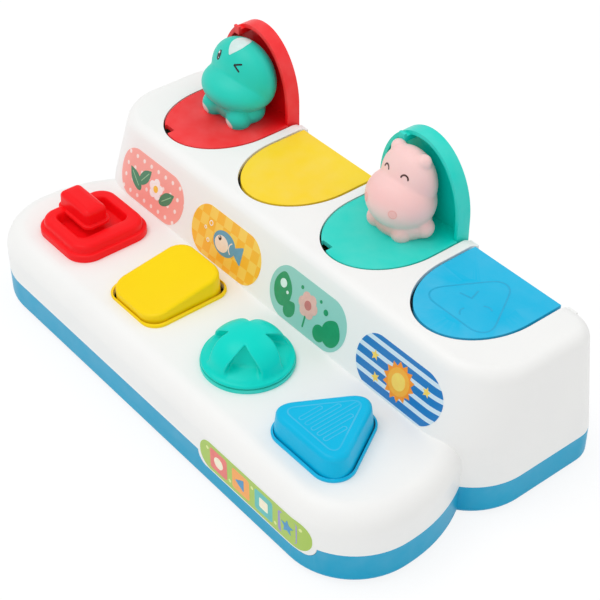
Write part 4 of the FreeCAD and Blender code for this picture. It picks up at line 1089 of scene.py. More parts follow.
def dino_marks(prints: Prints) -> None:
    """Paint the open eye, the winking eye and the pale forehead shield.

    Args:
        prints: the marks so far.
    """
    prints.aim(-8.0, -18.2, 41.5)
    prints.lay(Flat.disc(1.7, 2.9))
    prints.lay(Flat.disc(0.55, 0.8, 16), -0.5, 1.4, 1, tier=1)
    prints.lay(Flat.disc(0.3, 0.3, 12), 0.6, -1.3, 1, tier=1)
    prints.aim(8.0, -18.2, 41.5)
    for lift, turn in ((1.05, 27.0), (-1.05, -27.0)):
        prints.lay(Flat.bar(4.2, 0.95), 0.0, lift, turn=turn)
    prints.aim(0.0, -10.2, 48.4)
    prints.lay(Flat.disc(4.6, 7.4, 40, 0.55), ink=2, turn=180.0)


def hippo_marks(prints: Prints) -> None:
    """Paint the two smiling eyes and the ringed nostrils.

    Args:
        prints: the marks so far.
    """
    for side in (-1.0, 1.0):
        prints.aim(7.0 * side, -18.4, 41.0)
        prints.lay(Flat.arc(2.0, 8.0, 164.0, 0.85), 0.0, -0.6)
        prints.aim(9.6 * side, -26.4, 25.0)
        prints.lay(Flat.ring(2.3, 0.5), ink=1)


def chick_marks(prints: Prints) -> None:
    """Paint the chick's round eyes and its cheeks.

    Args:
        prints: the marks so far.
    """
    for side in (-1.0, 1.0):
        prints.aim(7.2 * side, -20.0, 34.0)
        prints.lay(Flat.disc(1.5, 1.9))
        prints.lay(Flat.disc(0.5, 0.6, 14), 0.4, 0.7, 1, tier=1)
        prints.aim(11.0 * side, -17.5, 28.0)
        prints.lay(Flat.disc(2.3, 1.6), ink=2)


def cub_marks(prints: Prints) -> None:
    """Paint the cub's eyes, nose and mouth.

    Args:
        prints: the marks so far.
    """
    for side in (-1.0, 1.0):
        prints.aim(5.4 * side, -25.0, 32.5)
        prints.lay(Flat.disc(1.2, 1.6))
        prints.lay(Flat.disc(0.4, 0.5, 14), 0.3, 0.6, 1, tier=1)
        prints.aim(1.5 * side, -26.6, 27.2)
        prints.lay(Flat.arc(1.5, 200.0, 150.0, 0.5), 0.0, 0.2)
    prints.aim(0.0, -26.8, 29.6)
    prints.lay(Flat.polygon(3, 2.0, 0.6), turn=-90.0)


def figures() -> tuple[Figure, ...]:
    """Give the four figures, each with its own masses, paint and marks.

    Returns:
        The figures.
    """
    black = Ink("eye_black", shade(28, 26, 28), 0.25)
    shine = Ink("eye_shine", shade(250, 250, 250), 0.25)
    toe_pale, blush = shade(224, 232, 226), shade(255, 188, 184)
    toe_orange, tan = shade(255, 146, 36), shade(255, 190, 84)
    dino = Figure(
        "dino", "dino_teal", Rotor.RED, shade(0, 214, 194), shade(4, 206, 186),
        (Spot((-10.6, -27.0, 10.2), (4.2, 3.6, 3.4), toe_pale, 0.25),
         Spot((9.4, -26.2, 9.6), (4.2, 3.6, 3.4), toe_pale, 0.25),
         # Greyer, darker teal low on the front under the muzzle: painted shade and painted reflection of
         # the red platform.
         Spot((0.0, -24.0, 12.5), (10.0, 12.0, 4.0), shade(92, 190, 170), 0.9)),
        (Lump((0.0, -7.4, 29.6), (22.5, 13.9, 20.0), 2.0),
         Lump((0.0, -11.9, 23.9), (21.9, 18.2, 12.0), -4.0),
         Lump((0.0, -11.9, 12.6), (17.9, 12.9, 9.7), -11.0),
         Lump((-9.1, -20.6, 11.9), (7.1, 7.1, 7.1)), Lump((10.6, -19.7, 11.3), (7.1, 7.1, 7.1))),
        dino_marks, (black, shine, Ink("forehead_pale", shade(210, 231, 228), 0.5)))
    hippo = Figure(
        "hippo", "hippo_pink", Rotor.TEAL, shade(255, 214, 210), shade(255, 205, 202),
        (Spot((-9.6, -26.4, 25.0), (3.0, 3.0, 3.0), blush, 0.8),
         Spot((9.6, -26.4, 25.0), (3.0, 3.0, 3.0), blush, 0.8),
         Spot((0.0, -20.0, 30.0), (26.0, 20.0, 8.0), shade(255, 201, 198), 0.9),
         # Darker, redder pink low on the belly: painted shade under the muzzle.
         Spot((0.0, -22.0, 12.0), (16.0, 12.0, 5.0), shade(252, 182, 172), 0.9)),
        (Lump((0.0, -7.2, 32.6), (16.6, 11.4, 17.8)), Lump((0.0, -12.2, 23.6), (19.1, 16.8, 14.8), 3.0),
         Lump((0.0, -11.5, 12.2), (17.2, 14.0, 10.4), -4.0), Lump((-8.8, -6.8, 46.8), (3.9, 3.9, 3.9)),
         Lump((8.8, -6.6, 46.6), (4.0, 4.0, 4.0)), Lump((-14.6, -10.5, 13.0), (5.4, 5.4, 5.4)),
         Lump((14.8, -10.0, 12.8), (5.5, 5.5, 5.5)), Lump((-8.6, -19.4, 10.6), (5.4, 5.6, 5.4)),
         Lump((8.9, -19.0, 10.4), (5.5, 5.7, 5.5))),
        hippo_marks,
        (Ink("eye_brown", shade(74, 38, 34), 0.3), Ink("nostril_rim", shade(248, 178, 172), 0.5)))
    chick = Figure(
        "chick", "chick_yellow", Rotor.YELLOW, shade(255, 214, 40), shade(255, 206, 30),
        (Spot((0.3, -23.5, 29.5), (4.4, 5.0, 4.4), shade(255, 138, 30), 0.12),
         Spot((-7.6, -22.0, 9.5), (6.2, 6.2, 5.0), toe_orange, 0.2),
         Spot((7.9, -22.0, 9.5), (6.2, 6.2, 5.0), toe_orange, 0.2),
         Spot((0.0, -24.0, 17.0), (10.0, 8.0, 6.0), shade(255, 240, 170), 0.6)),
        (Lump((0.0, -9.0, 31.5), (18.5, 13.4, 17.0)), Lump((0.3, -22.6, 29.5), (3.9, 3.9, 3.9)),
         Lump((0.0, -11.0, 14.5), (16.5, 13.5, 11.5)), Lump((-7.6, -20.4, 10.2), (5.4, 5.4, 5.4)),
         Lump((7.9, -20.0, 10.4), (5.5, 5.5, 5.5))),
        chick_marks, (black, shine, Ink("cheek_coral", shade(255, 158, 110), 0.5)))
    cub = Figure(
        "cub", "cub_orange", Rotor.BLUE, shade(232, 132, 44), shade(222, 120, 36),
        (Spot((0.0, -13.6, 29.5), (13.4, 15.0, 13.4), tan, 0.03),
         Spot((0.0, -23.0, 26.4), (6.0, 8.0, 4.5), shade(255, 226, 172), 0.3),
         Spot((0.0, -16.0, 12.0), (15.0, 16.0, 6.0), tan, 0.3)),
        (Lump((0.0, -8.0, 31.0), (20.5, 11.5, 17.5)), Lump((0.0, -13.6, 29.5), (13.2, 13.2, 13.2)),
         Lump((-12.8, -8.2, 44.0), (4.4, 4.4, 4.4)), Lump((13.0, -8.0, 43.8), (4.5, 4.5, 4.5)),
         Lump((0.0, -11.0, 13.5), (15.5, 12.5, 10.5)), Lump((-8.4, -19.6, 10.6), (5.9, 5.9, 5.9)),
         Lump((8.7, -19.2, 10.8), (6.0, 6.0, 6.0))),
        cub_marks, (black, shine))
    return (dino, hippo, chick, cub)


# --------------------------------------------------------------------------------------------
# Labels
# --------------------------------------------------------------------------------------------
@dataclass(frozen=True)
class Labels:
    """The four printed labels on the riser and the strip on the front tab."""

    nodes: dict[str, bpy.types.Object]
    dresser: NodeDresser
    pitch: float = 66.0
    slope: float = 0.3295
    ink: float = 0.06
    tile: float = 17.0

    def build(self) -> None:
        """Print every label."""
        riser = (
            (Film("film_pink", shade(255, 172, 161), shade(255, 236, 230), Pattern.DOTS, 0.0065),
             "label_pink", self.garden),
            (Film("film_orange", shade(255, 191, 53), shade(255, 212, 92), Pattern.CHECK, 0.0060),
             "label_orange", self.fish),
            (Film("film_mint", shade(150, 213, 202), shade(150, 213, 202)), "label_green", self.leaves),
            (Film("film_navy", shade(26, 124, 196), shade(214, 234, 246), Pattern.STRIPES, 0.0058),
             "label_navy", self.sun),
        )
        for number, (film, name, draw) in enumerate(riser):
            low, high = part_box(name)
            middle = (self.pitch * (number - 1.5) * MM, (low[1] + high[1]) * 0.5, (low[2] + high[2]) * 0.5)
            place = facing(Vector(middle), Vector((0.0, -1.0, self.slope)), RIGHT)
            self.label(name, name, film, place, draw)
        low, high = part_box("label_tab")
        middle = ((low[0] + high[0]) * 0.5, low[1], (low[2] + high[2]) * 0.5)
        film = Film("film_lime", shade(174, 206, 85), shade(174, 206, 85))
        front = facing(Vector(middle), Vector((0.0, -1.0, 0.0)), RIGHT)
        self.label("label_tab", "label_lime", film, front, self.strip)

    def label(self, name: str, slot: str, film: Film, place: Matrix,
              draw: Callable[[Prints], dict[str, Colour]]) -> None:
        """Dress one label and print its drawing.

        Args:
            name: its node.
            slot: handed on to the print's finish, which does not use it.
            film: its film.
            place: the drawing's frame.
            draw: what lays the drawing and gives its inks.
        """
        self.dresser.dress(name, film.material())
        prints = Prints(surface_of(self.nodes[name]), thick=self.ink, place=place)
        inks = [Ink(ink, colour).material() for ink, colour in draw(prints).items()]
        prints.finish(f"{name}_print", "case", slot, inks)

    def garden(self, prints: Prints) -> dict[str, Colour]:
        """Draw leaves and a flower on the pink label.

        Args:
            prints: the label's print.

        Returns:
            Its inks.
        """
        for x, y, turn, long in ((-14.0, -2.0, 52.0, 7.4), (-6.5, 2.0, -38.0, 6.6),
                                 (14.0, -1.0, -50.0, 7.0)):
            prints.lay(Flat.disc(3.4, long, 30, 0.7), x, y, turn=turn, tier=(x + 14.0) * 0.03)
            prints.lay(Flat.bar(long * 1.2, 0.5), x, y, 1, turn=turn + 90.0, tier=1)
        for step in range(5):
            turn = math.radians(72.0 * step + 18.0)
            prints.lay(Flat.disc(2.6, 2.6), 4.0 + 3.4 * math.cos(turn), 3.4 * math.sin(turn), 2,
                       tier=1.0 + 0.15 * step)
        prints.lay(Flat.disc(2.0, 2.0), 4.0, 0.0, 3, tier=2)
        return {"leaf_green": shade(70, 140, 104), "leaf_vein": shade(150, 205, 160),
                "petal_white": shade(255, 250, 246), "heart_yellow": shade(255, 205, 70)}

    def fish(self, prints: Prints) -> dict[str, Colour]:
        """Draw a blue fish on the orange label.

        Args:
            prints: the label's print.

        Returns:
            Its inks.
        """
        prints.lay(Flat.disc(9.0, 6.6, 40), -1.0, -0.5)
        prints.lay(Flat.polygon(3, 6.4, 1.2), 10.4, -0.5, turn=90.0, tier=0.3)
        prints.lay(Flat.disc(5.4, 4.4, 34), -3.0, -1.4, 1, tier=1)
        prints.lay(Flat.disc(1.2, 1.3, 18), -5.0, 1.0, 2, tier=2)
        prints.lay(Flat.disc(0.4, 0.4, 12), -5.3, 1.5, 3, tier=3)
        prints.lay(Flat.arc(3.4, 120.0, 120.0, 0.7), 6.2, -0.5, 1, tier=1)
        for x, y, size in ((-14.0, 5.0, 1.5), (-17.5, 1.0, 1.0), (-13.6, -4.6, 1.2)):
            prints.lay(Flat.ring(size, 0.5), x, y, 3)
        return {"fish_blue": shade(98, 160, 188), "fish_pale": shade(250, 226, 208),
                "fish_eye": shade(60, 44, 40), "bubble_white": shade(255, 252, 244)}

    def leaves(self, prints: Prints) -> dict[str, Colour]:
        """Draw dark leaves and a pink flower on the mint label.

        Args:
            prints: the label's print.

        Returns:
            Its inks.
        """
        for x, y, wide, high, turn, taper in (
                (-19.0, 0.5, 6.6, 9.0, 8.0, 0.3), (19.0, -3.4, 6.4, 7.4, -14.0, 0.3),
                (11.5, -7.6, 4.4, 4.4, 0.0, 0.0), (-11.5, -7.0, 4.0, 5.0, -30.0, 0.4)):
            prints.lay(Flat.disc(wide, high, 34, taper), x, y, turn=turn, tier=(x + 19.0) * 0.02)
        for x, y, size, ink in ((-19.5, 3.4, 2.4, 2), (-15.4, 0.2, 0.9, 2), (12.4, 4.6, 1.6, 0),
                                (7.6, 8.0, 0.9, 0), (-6.6, 8.2, 1.0, 0)):
            prints.lay(Flat.disc(size, size), x, y, ink, tier=1)
        prints.lay(Flat.bar(8.5, 1.1), 0.0, -6.0, turn=90.0)
        for step in range(6):
            turn = math.radians(60.0 * step)
            prints.lay(Flat.disc(3.0, 3.0), 4.0 * math.cos(turn), 1.5 + 4.0 * math.sin(turn), 1,
                       tier=1.0 + 0.12 * step)
        prints.lay(Flat.disc(2.5, 2.5), 0.0, 1.5, 3, tier=2)
        return {"leaf_dark": shade(20, 150, 98), "petal_pink": shade(234, 184, 174),
                "dew_white": shade(222, 244, 236), "heart_rose": shade(206, 120, 116)}

    def sun(self, prints: Prints) -> dict[str, Colour]:
        """Draw an orange sun and small stars on the striped navy label.

        Args:
            prints: the label's print.

        Returns:
            Its inks.
        """
        prints.lay(Flat.star(10.2, 7.8, 14), 1.0, -1.0)
        prints.lay(Flat.disc(7.0, 7.0, 40), 1.0, -1.0, 1, tier=1)
        prints.lay(Flat.disc(4.4, 4.4, 34), 1.0, -1.0, 2, tier=2)
        for x, y, turn in ((-17.0, 3.0, 10.0), (-13.0, -7.0, 30.0), (18.0, 4.0, 0.0)):
            prints.lay(Flat.star(2.8, 1.3, 5), x, y, 2, turn=turn)
        return {"ray_orange": shade(255, 150, 30), "sun_orange": shade(255, 178, 52),
                "star_yellow": shade(255, 214, 96)}

    def strip(self, prints: Prints) -> dict[str, Colour]:
        """Draw four tiles with plain shapes and the dots between them on the front strip.

        Args:
            prints: the strip's print.

        Returns:
            Its inks.
        """
        inner = (Flat.disc(3.4, 3.4), Flat.polygon(3, 4.4, 0.8), Flat.polygon(4, 4.4, 0.8),
                 Flat.star(4.4, 2.1, 5))
        for number, shape in enumerate(inner):
            x = self.tile * (number - 1.5)
            prints.lay(Flat.polygon(4, 9.2, 1.6), x, 0.0, number)
            prints.lay(shape, x, 0.0, 4 + number % 2, turn=90.0 if number == 1 else 0.0, tier=1)
        for number in range(5):
            prints.lay(Flat.disc(1.0, 1.0, 16), self.tile * (number - 2.0), 4.4 - 8.8 * (number % 2), 6)
        return {"tile_rose": shade(238, 120, 112), "tile_orange": shade(255, 168, 82),
                "tile_aqua": shade(92, 192, 188), "tile_violet": shade(156, 146, 206),
                "shape_cream": shade(255, 242, 214), "shape_sky": shade(66, 150, 200),
                "dot_pale": shade(222, 234, 150)}


# --------------------------------------------------------------------------------------------
# Controls
# --------------------------------------------------------------------------------------------
def quarter(radius: float, steps: int, hollow: bool = False) -> list[Point]:
    """Give the insets and rises of a rounded edge.

    Args:
        radius: its radius.
        steps: how many steps it has.
        hollow: whether it turns from flat to upright, not from upright to flat.

    Returns:
        Each step's inset and rise.
    """
    turns = [math.pi * 0.5 * step / steps for step in range(steps + 1)]
    if hollow:
        path = [(radius * math.sin(turn), radius * (1.0 - math.cos(turn))) for turn in turns]
    else:
        path = [(radius * (1.0 - math.cos(turn)), radius * math.sin(turn)) for turn in turns]
    return [(later[0] - now[0], later[1] - now[1]) for now, later in zip(path, path[1:])]


class Moulding:
    """A closed moulding that grows from a flat outline by insets and rises, in millimetres."""

    def __init__(self, height: float) -> None:
        """Start at a height.

        Args:
            height: the outline's height above the table.
        """
        self.mesh = bmesh.new()
        self.height = height
        self.cap: bmesh.types.BMFace | None = None

    def box_outline(self, low: Point, high: Point, corner: float) -> None:
        """Start from a rectangle with rounded corners.

        Args:
            low: its lowest corner.
            high: its highest corner.
            corner: the radius of its corners.
        """
        bmesh.ops.create_grid(self.mesh, x_segments=1, y_segments=1, size=0.5)
        bmesh.ops.scale(self.mesh, vec=(high[0] - low[0], high[1] - low[1], 1.0), verts=self.mesh.verts)
        bmesh.ops.translate(self.mesh, verts=self.mesh.verts,
                            vec=((low[0] + high[0]) * 0.5, (low[1] + high[1]) * 0.5, self.height))
        self.round_corners(corner)

    def triangle_outline(self, middle: Point, radius: float, corner: float, turn: float) -> None:
        """Start from a triangle with rounded corners.

        Args:
            middle: its middle.
            radius: its radius to a corner before the rounding.
            corner: the radius of its corners.
            turn: its turn in degrees.
        """
        bmesh.ops.create_circle(self.mesh, cap_ends=True, segments=3, radius=radius)
        place = Matrix.Translation((middle[0], middle[1], self.height))
        bmesh.ops.transform(self.mesh, matrix=place @ Matrix.Rotation(math.radians(turn), 4, "Z"),
                            verts=self.mesh.verts)
        self.round_corners(corner * math.sqrt(3.0))

    def round_corners(self, corner: float) -> None:
        """Round the outline's corners and close the moulding's underside.

        Args:
            corner: the radius of the corners.
        """
        for face in self.mesh.faces:
            face.normal_update()
            if face.normal.z < 0.0:
                face.normal_flip()
        bmesh.ops.bevel(self.mesh, geom=list(self.mesh.verts), offset=corner, offset_type="OFFSET",
                        segments=12, profile=0.5, material=-1, affect="VERTICES")
        start = max(self.mesh.faces, key=lambda face: face.calc_area())
        grown = bmesh.ops.extrude_face_region(self.mesh, geom=[start], use_keep_orig=True)
        self.cap = next(item for item in grown["geom"] if isinstance(item, bmesh.types.BMFace))
        self.lift(0.05)

    def lift(self, rise: float) -> None:
        """Move the cap up."""
        bmesh.ops.translate(self.mesh, verts=self.cap.verts, vec=(0.0, 0.0, rise))

    def grow(self, steps: Iterable[Point]) -> "Moulding":
        """Follow insets and rises with the cap.

        Args:
            steps: each step's inset and rise.

        Returns:
            The moulding itself.
        """
        for inset, rise in steps:
            if abs(inset) < 0.0001:
                grown = bmesh.ops.extrude_face_region(self.mesh, geom=[self.cap])
                fresh = next(item for item in grown["geom"] if isinstance(item, bmesh.types.BMFace))
                if self.cap.is_valid and self.cap is not fresh:
                    bmesh.ops.delete(self.mesh, geom=[self.cap], context="FACES_ONLY")
                self.cap = fresh
            else:
                self.cap.normal_update()
                bmesh.ops.inset_individual(self.mesh, faces=[self.cap], thickness=abs(inset), depth=0.0,
                                           use_even_offset=True)
            self.lift(rise)
        return self

    def shrink(self, steps: Iterable[Point]) -> "Moulding":
        """Draw the cap in towards its middle.

        Args:
            steps: each step's share of the cap's size that goes, and its rise.

        Returns:
            The moulding itself.
        """
        for share, rise in steps:
            middle = self.cap.calc_center_median()
            self.grow([(0.0, rise)])
            bmesh.ops.scale(self.mesh, vec=(1.0 - share, 1.0 - share, 1.0), verts=self.cap.verts,
                            space=Matrix.Translation(-middle))
        return self

    def level(self) -> float:
        """Give the cap's height."""
        return self.cap.verts[0].co.z

    def fit_cap(self, low: Point, high: Point) -> None:
        """Move and stretch the cap so that it spans a rectangle.

        Args:
            low: the rectangle's lowest corner.
            high: its highest corner.
        """
        verts = self.cap.verts
        xs = [vert.co.x for vert in verts]
        ys = [vert.co.y for vert in verts]
        for vert in verts:
            vert.co.x = low[0] + (vert.co.x - min(xs)) / (max(xs) - min(xs)) * (high[0] - low[0])
            vert.co.y = low[1] + (vert.co.y - min(ys)) / (max(ys) - min(ys)) * (high[1] - low[1])

    def done(self, crisp: float = 40.0) -> bmesh.types.BMesh:
        """Turn the faces outwards and mark the crisp edges.

        Args:
            crisp: the angle in degrees from which an edge stays crisp.

        Returns:
            The mesh in metres.
        """
        bmesh.ops.scale(self.mesh, vec=(MM, MM, MM), verts=self.mesh.verts)
        bmesh.ops.remove_doubles(self.mesh, verts=self.mesh.verts, dist=0.0000005)
        bmesh.ops.recalc_face_normals(self.mesh, faces=self.mesh.faces)
        mark_crisp(self.mesh, math.radians(crisp))
        return self.mesh


@dataclass(frozen=True)
class SlideSwitch:
    """The red slide switch: a stepped bezel with a deep recess, and a soft block that slides in it."""

    low: Point = (-124.4, -63.8)
    high: Point = (-78.4, -15.7)
    deck: float = 43.45
    corner: float = 12.0
    floor: float = 45.6
    pit_low: Point = (-115.0, -54.2)
    pit_high: Point = (-90.0, -25.0)
    lip: float = 1.4
    knob_low: Point = (-125.2, -48.0)
    knob_high: Point = (-94.8, -31.6)
    knob_foot: float = 50.0
    knob_top: float = 60.2
    knob_corner: float = 4.6
    knob_edge: float = 2.6
    knob_crown: float = 0.3
    skirt: float = 2.9
    skirt_edge: float = 1.1
    groove: float = 0.5
    wall: float = 1.7
    brow: float = 2.2
    stem: Point = (15.0, 7.0)
    play: float = 0.1

    def build(self, finish: bpy.types.Material) -> None:
        """Model the bezel and the knob.

        Args:
            finish: their plastic.
        """
        bezel = Moulding(self.deck)
        bezel.box_outline(self.low, self.high, self.corner)
        bezel.grow([(0.0, self.skirt)]).grow(quarter(self.skirt_edge, 4)).grow([(self.groove, 0.05)])
        bezel.grow(quarter(self.groove, 3, True)).grow([(0.15, self.wall)]).grow(quarter(self.brow, 7))
        bezel.grow([(self.brow, 0.0), (0.0, 0.0)])
        bezel.fit_cap((self.pit_low[0] - self.lip, self.pit_low[1] - self.lip),
                      (self.pit_high[0] + self.lip, self.pit_high[1] + self.lip))
        bezel.grow([(0.35, -0.12), (0.35, -0.35), (0.35, -0.6), (0.2, -0.9)])
        bezel.grow([(0.25, self.floor - bezel.level() + 0.8), (0.2, -0.5), (0.5, -0.3)])
        finish_piece(bezel.done(), "switch_surround", "case", [finish], ["switch_bezel"])
        block = Moulding(self.knob_foot)
        block.box_outline(self.knob_low, self.knob_high, self.knob_corner)
        block.grow([(0.0, 1.2)]).grow(quarter(0.4, 3)).grow([(self.groove, 0.0)])
        block.grow(quarter(self.groove, 3, True))
        block.grow([(0.1, self.knob_top - block.level() - self.knob_edge - self.knob_crown)])
        block.grow(quarter(self.knob_edge, 7))
        block.shrink([(0.10, 0.15), (0.14, 0.10), (0.3, 0.05)])
        mesh = block.done()
        low, high = self.floor + self.play, self.knob_foot
        middle = Vector(((self.knob_low[0] + self.knob_high[0]) * 0.5,
                         (self.knob_low[1] + self.knob_high[1]) * 0.5, (low + high) * 0.5)) * MM
        size = Matrix.Diagonal((self.stem[0] * MM, self.stem[1] * MM, (high - low) * MM, 1.0))
        bmesh.ops.create_cube(mesh, size=1.0, matrix=Matrix.Translation(middle) @ size)
        finish_piece(mesh, "slide_knob", "slide_switch", [finish], ["switch_knob"])


@dataclass(frozen=True)
class RockerKey:
    """The yellow rocker: a soft-edged key with a saddle top that rises to the back."""

    x: float = -34.35
    y: float = -38.75
    half: float = 18.85
    long: float = 24.05
    bottom: float = 36.0
    deck: float = 43.4
    front: float = 5.5
    back: float = 13.0
    sag: float = 1.9
    corner: float = 9.8
    edge: float = 2.6
    rake: float = 1.4
    rings: int = 12

    def build(self, finish: bpy.types.Material) -> None:
        """Model the rocker.

        Args:
            finish: its plastic.
        """
        key = Moulding(self.bottom)
        key.box_outline((self.x - self.half, self.y - self.long), (self.x + self.half, self.y + self.long),
                        self.corner)
        key.grow([(0.0, self.deck - self.bottom + self.back - self.edge)]).grow(quarter(self.edge, 7))
        key.shrink([(1.0 / (self.rings - step), 0.0) for step in range(self.rings - 1)])
        mesh = key.mesh
        roof = self.deck + self.back
        for vert in mesh.verts:
            along = (vert.co.y - self.y) / self.long
            across = (vert.co.x - self.x) / self.half
            part = max(0.0, (vert.co.z - self.deck) / (roof - self.deck))
            fall = (self.back - self.front) * (1.0 - along) * 0.5
            inner = max(0.0, 1.0 - across * across) * max(0.0, 1.0 - along * along)
            vert.co.z -= part * (fall + self.sag * inner ** 0.7)
            vert.co.y -= part * max(0.0, along) * self.rake
        bmesh.ops.poke(mesh, faces=[key.cap])
        finish_piece(key.done(), "rocker_key_cap", "rocker_key", [finish], ["rocker"])


@dataclass(frozen=True)
class PocketDial:
    """The teal dial: a smooth dome over a lipped flange, with four arched finger pockets."""

    x: float = 33.0
    y: float = -40.1
    low: float = 45.5
    flange: float = 48.4
    radius: float = 22.9
    dome: float = 20.0
    top: float = 62.9
    around: int = 176
    lip: float = 1.8
    stem: float = 4.0
    stem_long: float = 15.0
    pockets: int = 4
    pocket_foot: float = 1.4
    pocket_half: float = 8.8
    pocket_tall: float = 11.6
    pocket_wall: float = 11.8
    pocket_slope: float = 0.42
    pocket_edge: float = 1.8

    def build(self, finish: bpy.types.Material) -> None:
        """Model the dial.

        Args:
            finish: its plastic.
        """
        mesh = bmesh.new()
        path = [(0.0, self.low), (self.radius - 0.6, self.low), (self.radius, self.low + 0.5),
                (self.radius, self.flange - self.lip)]
        path += Flat.along(self.radius - 1.0, self.flange - self.lip, 1.0,
                           [math.radians(15.0 * step) for step in range(1, 6)])
        path += [(self.dome + 1.2, self.flange - 0.4), (self.dome + 0.7, self.flange + 0.1),
                 (self.dome + 0.2, self.flange + 0.9)]
        rise = self.top - self.flange
        steps = 44
        for step in range(5, steps + 1):
            turn = math.pi * 0.5 * step / steps
            bulge = math.cos(turn) ** 0.9
            path.append((self.dome * bulge, self.flange + rise * math.sin(turn)))
        path[-1] = (0.0, self.top)
        verts = [mesh.verts.new((radius, 0.0, height)) for radius, height in path]
        edges = [mesh.edges.new(ends) for ends in zip(verts, verts[1:])]
        bmesh.ops.spin(mesh, geom=verts + edges, cent=(0, 0, 0), axis=(0, 0, 1), angle=math.tau,
                       steps=self.around, use_merge=True, use_duplicate=False)
        bmesh.ops.remove_doubles(mesh, verts=mesh.verts, dist=0.001)
        for vert in mesh.verts:
            self.hollow(vert)
        for _ in range(3):
            high = [vert for vert in mesh.verts if vert.co.z > self.flange + 0.3]
            smooth(mesh, high)
        bmesh.ops.translate(mesh, verts=mesh.verts, vec=(self.x, self.y, 0.0))
        middle = Matrix.Translation((self.x, self.y, self.low + 0.1 - self.stem_long * 0.5))
        bmesh.ops.create_cone(mesh, cap_ends=True, segments=40, radius1=self.stem, radius2=self.stem,
                              depth=self.stem_long, matrix=middle)
        bmesh.ops.scale(mesh, vec=(MM, MM, MM), verts=mesh.verts)
        bmesh.ops.recalc_face_normals(mesh, faces=mesh.faces)
        mark_crisp(mesh, math.radians(60))
        finish_piece(mesh, "dial_cap", "turning_dial", [finish], ["dial"])

    def hollow(self, vert: bmesh.types.BMVert) -> None:
        """Press a point of the dome into the nearest finger pocket, where it lies in one.

        Args:
            vert: the point.
        """
        radius = math.hypot(vert.co.x, vert.co.y)
        height = vert.co.z - self.flange
        core = 2.0
        if height < self.pocket_foot or radius < core or radius > self.dome + 0.4:
            return
        turn = math.atan2(vert.co.y, vert.co.x)
        apart = math.tau / self.pockets
        middle = (round(turn / apart - 0.5) + 0.5) * apart
        along, aside = radius * math.cos(turn - middle), radius * math.sin(turn - middle)
        above = max(0.0, height - 2.0)
        arch = self.pocket_half * (1.0 - (above / self.pocket_tall) ** 1.7)
        if arch <= 0.0:
            return
        inside = min((arch - abs(aside)) / self.pocket_edge, (height - self.pocket_foot) / 0.9)
        wall = self.pocket_wall - self.pocket_slope * above
        depth = min(1.0, max(0.0, inside))
        depth = depth * depth * (3.0 - 2.0 * depth)
        pressed = min(along, along + (max(core, wall) - along) * depth)
        vert.co.x += (pressed - along) * math.cos(middle)
        vert.co.y += (pressed - along) * math.sin(middle)


@dataclass(frozen=True)
class TriangleButton:
    """The blue button: a rounded triangle with a raised outline and hairpin ribs on top."""

    x: float = 98.7
    y: float = -45.25
    side: float = 61.4
    corner: float = 10.0
    bottom: float = 43.7
    top: float = 56.1
    gap: float = 1.2
    edge: float = 2.8
    stub_back: float = 6.0
    stub: float = 3.0
    stub_long: float = 2.8
    stub_middle: float = 42.4
    rib_pitch: float = 4.3
    rib_half: float = 1.4

    def build(self, finish: bpy.types.Material) -> None:
        """Model the button and its ribs.

        Args:
            finish: its plastic.
        """
        cap = Moulding(self.bottom)
        cap.triangle_outline((self.x, self.y), (self.side - self.gap) / math.sqrt(3.0), self.corner, 0.0)
        cap.grow([(0.25, 1.2), (0.9, self.top - self.bottom - 1.4 - self.edge)]).grow(quarter(self.edge, 8))
        cap.shrink([(0.06, 0.1), (0.1, 0.05), (0.3, 0.0)])
        mesh = cap.done()
        spot = Matrix.Translation(Vector((self.x - self.stub_back, self.y, self.stub_middle)) * MM)
        bmesh.ops.create_cone(mesh, cap_ends=True, segments=32, radius1=self.stub * MM,
                              radius2=self.stub * MM, depth=self.stub_long * MM, matrix=spot)
        place = facing(Vector((self.x, self.y, self.top)) * MM, UP, RIGHT)
        prints = Prints(BVHTree.FromBMesh(mesh), thick=0.3, place=place)
        self.ribs(prints)
        finish_piece(mesh, "button_cap", "push_button", [finish], ["button"])
        prints.finish("button_ribs", "push_button", "blue", [finish])

    def ribs(self, prints: Prints) -> None:
        """Lay the outline and the five hairpins.

        Args:
            prints: the raised lines of the cap.
        """
        inner = self.side / math.sqrt(3.0) - 12.4
        prints.lay(Flat.border(Flat.polygon(3, inner, 7.0), 0.8))
        for step in range(5):
            x = self.rib_pitch * (step - 2)
            low = -inner * 0.5 + 3.4
            high = inner - 5.4 - abs(x) * math.sqrt(3.0)
            if high - low > 1.0:
                prints.lay(Flat.hairpin(self.rib_half, low, high, 0.6), x)


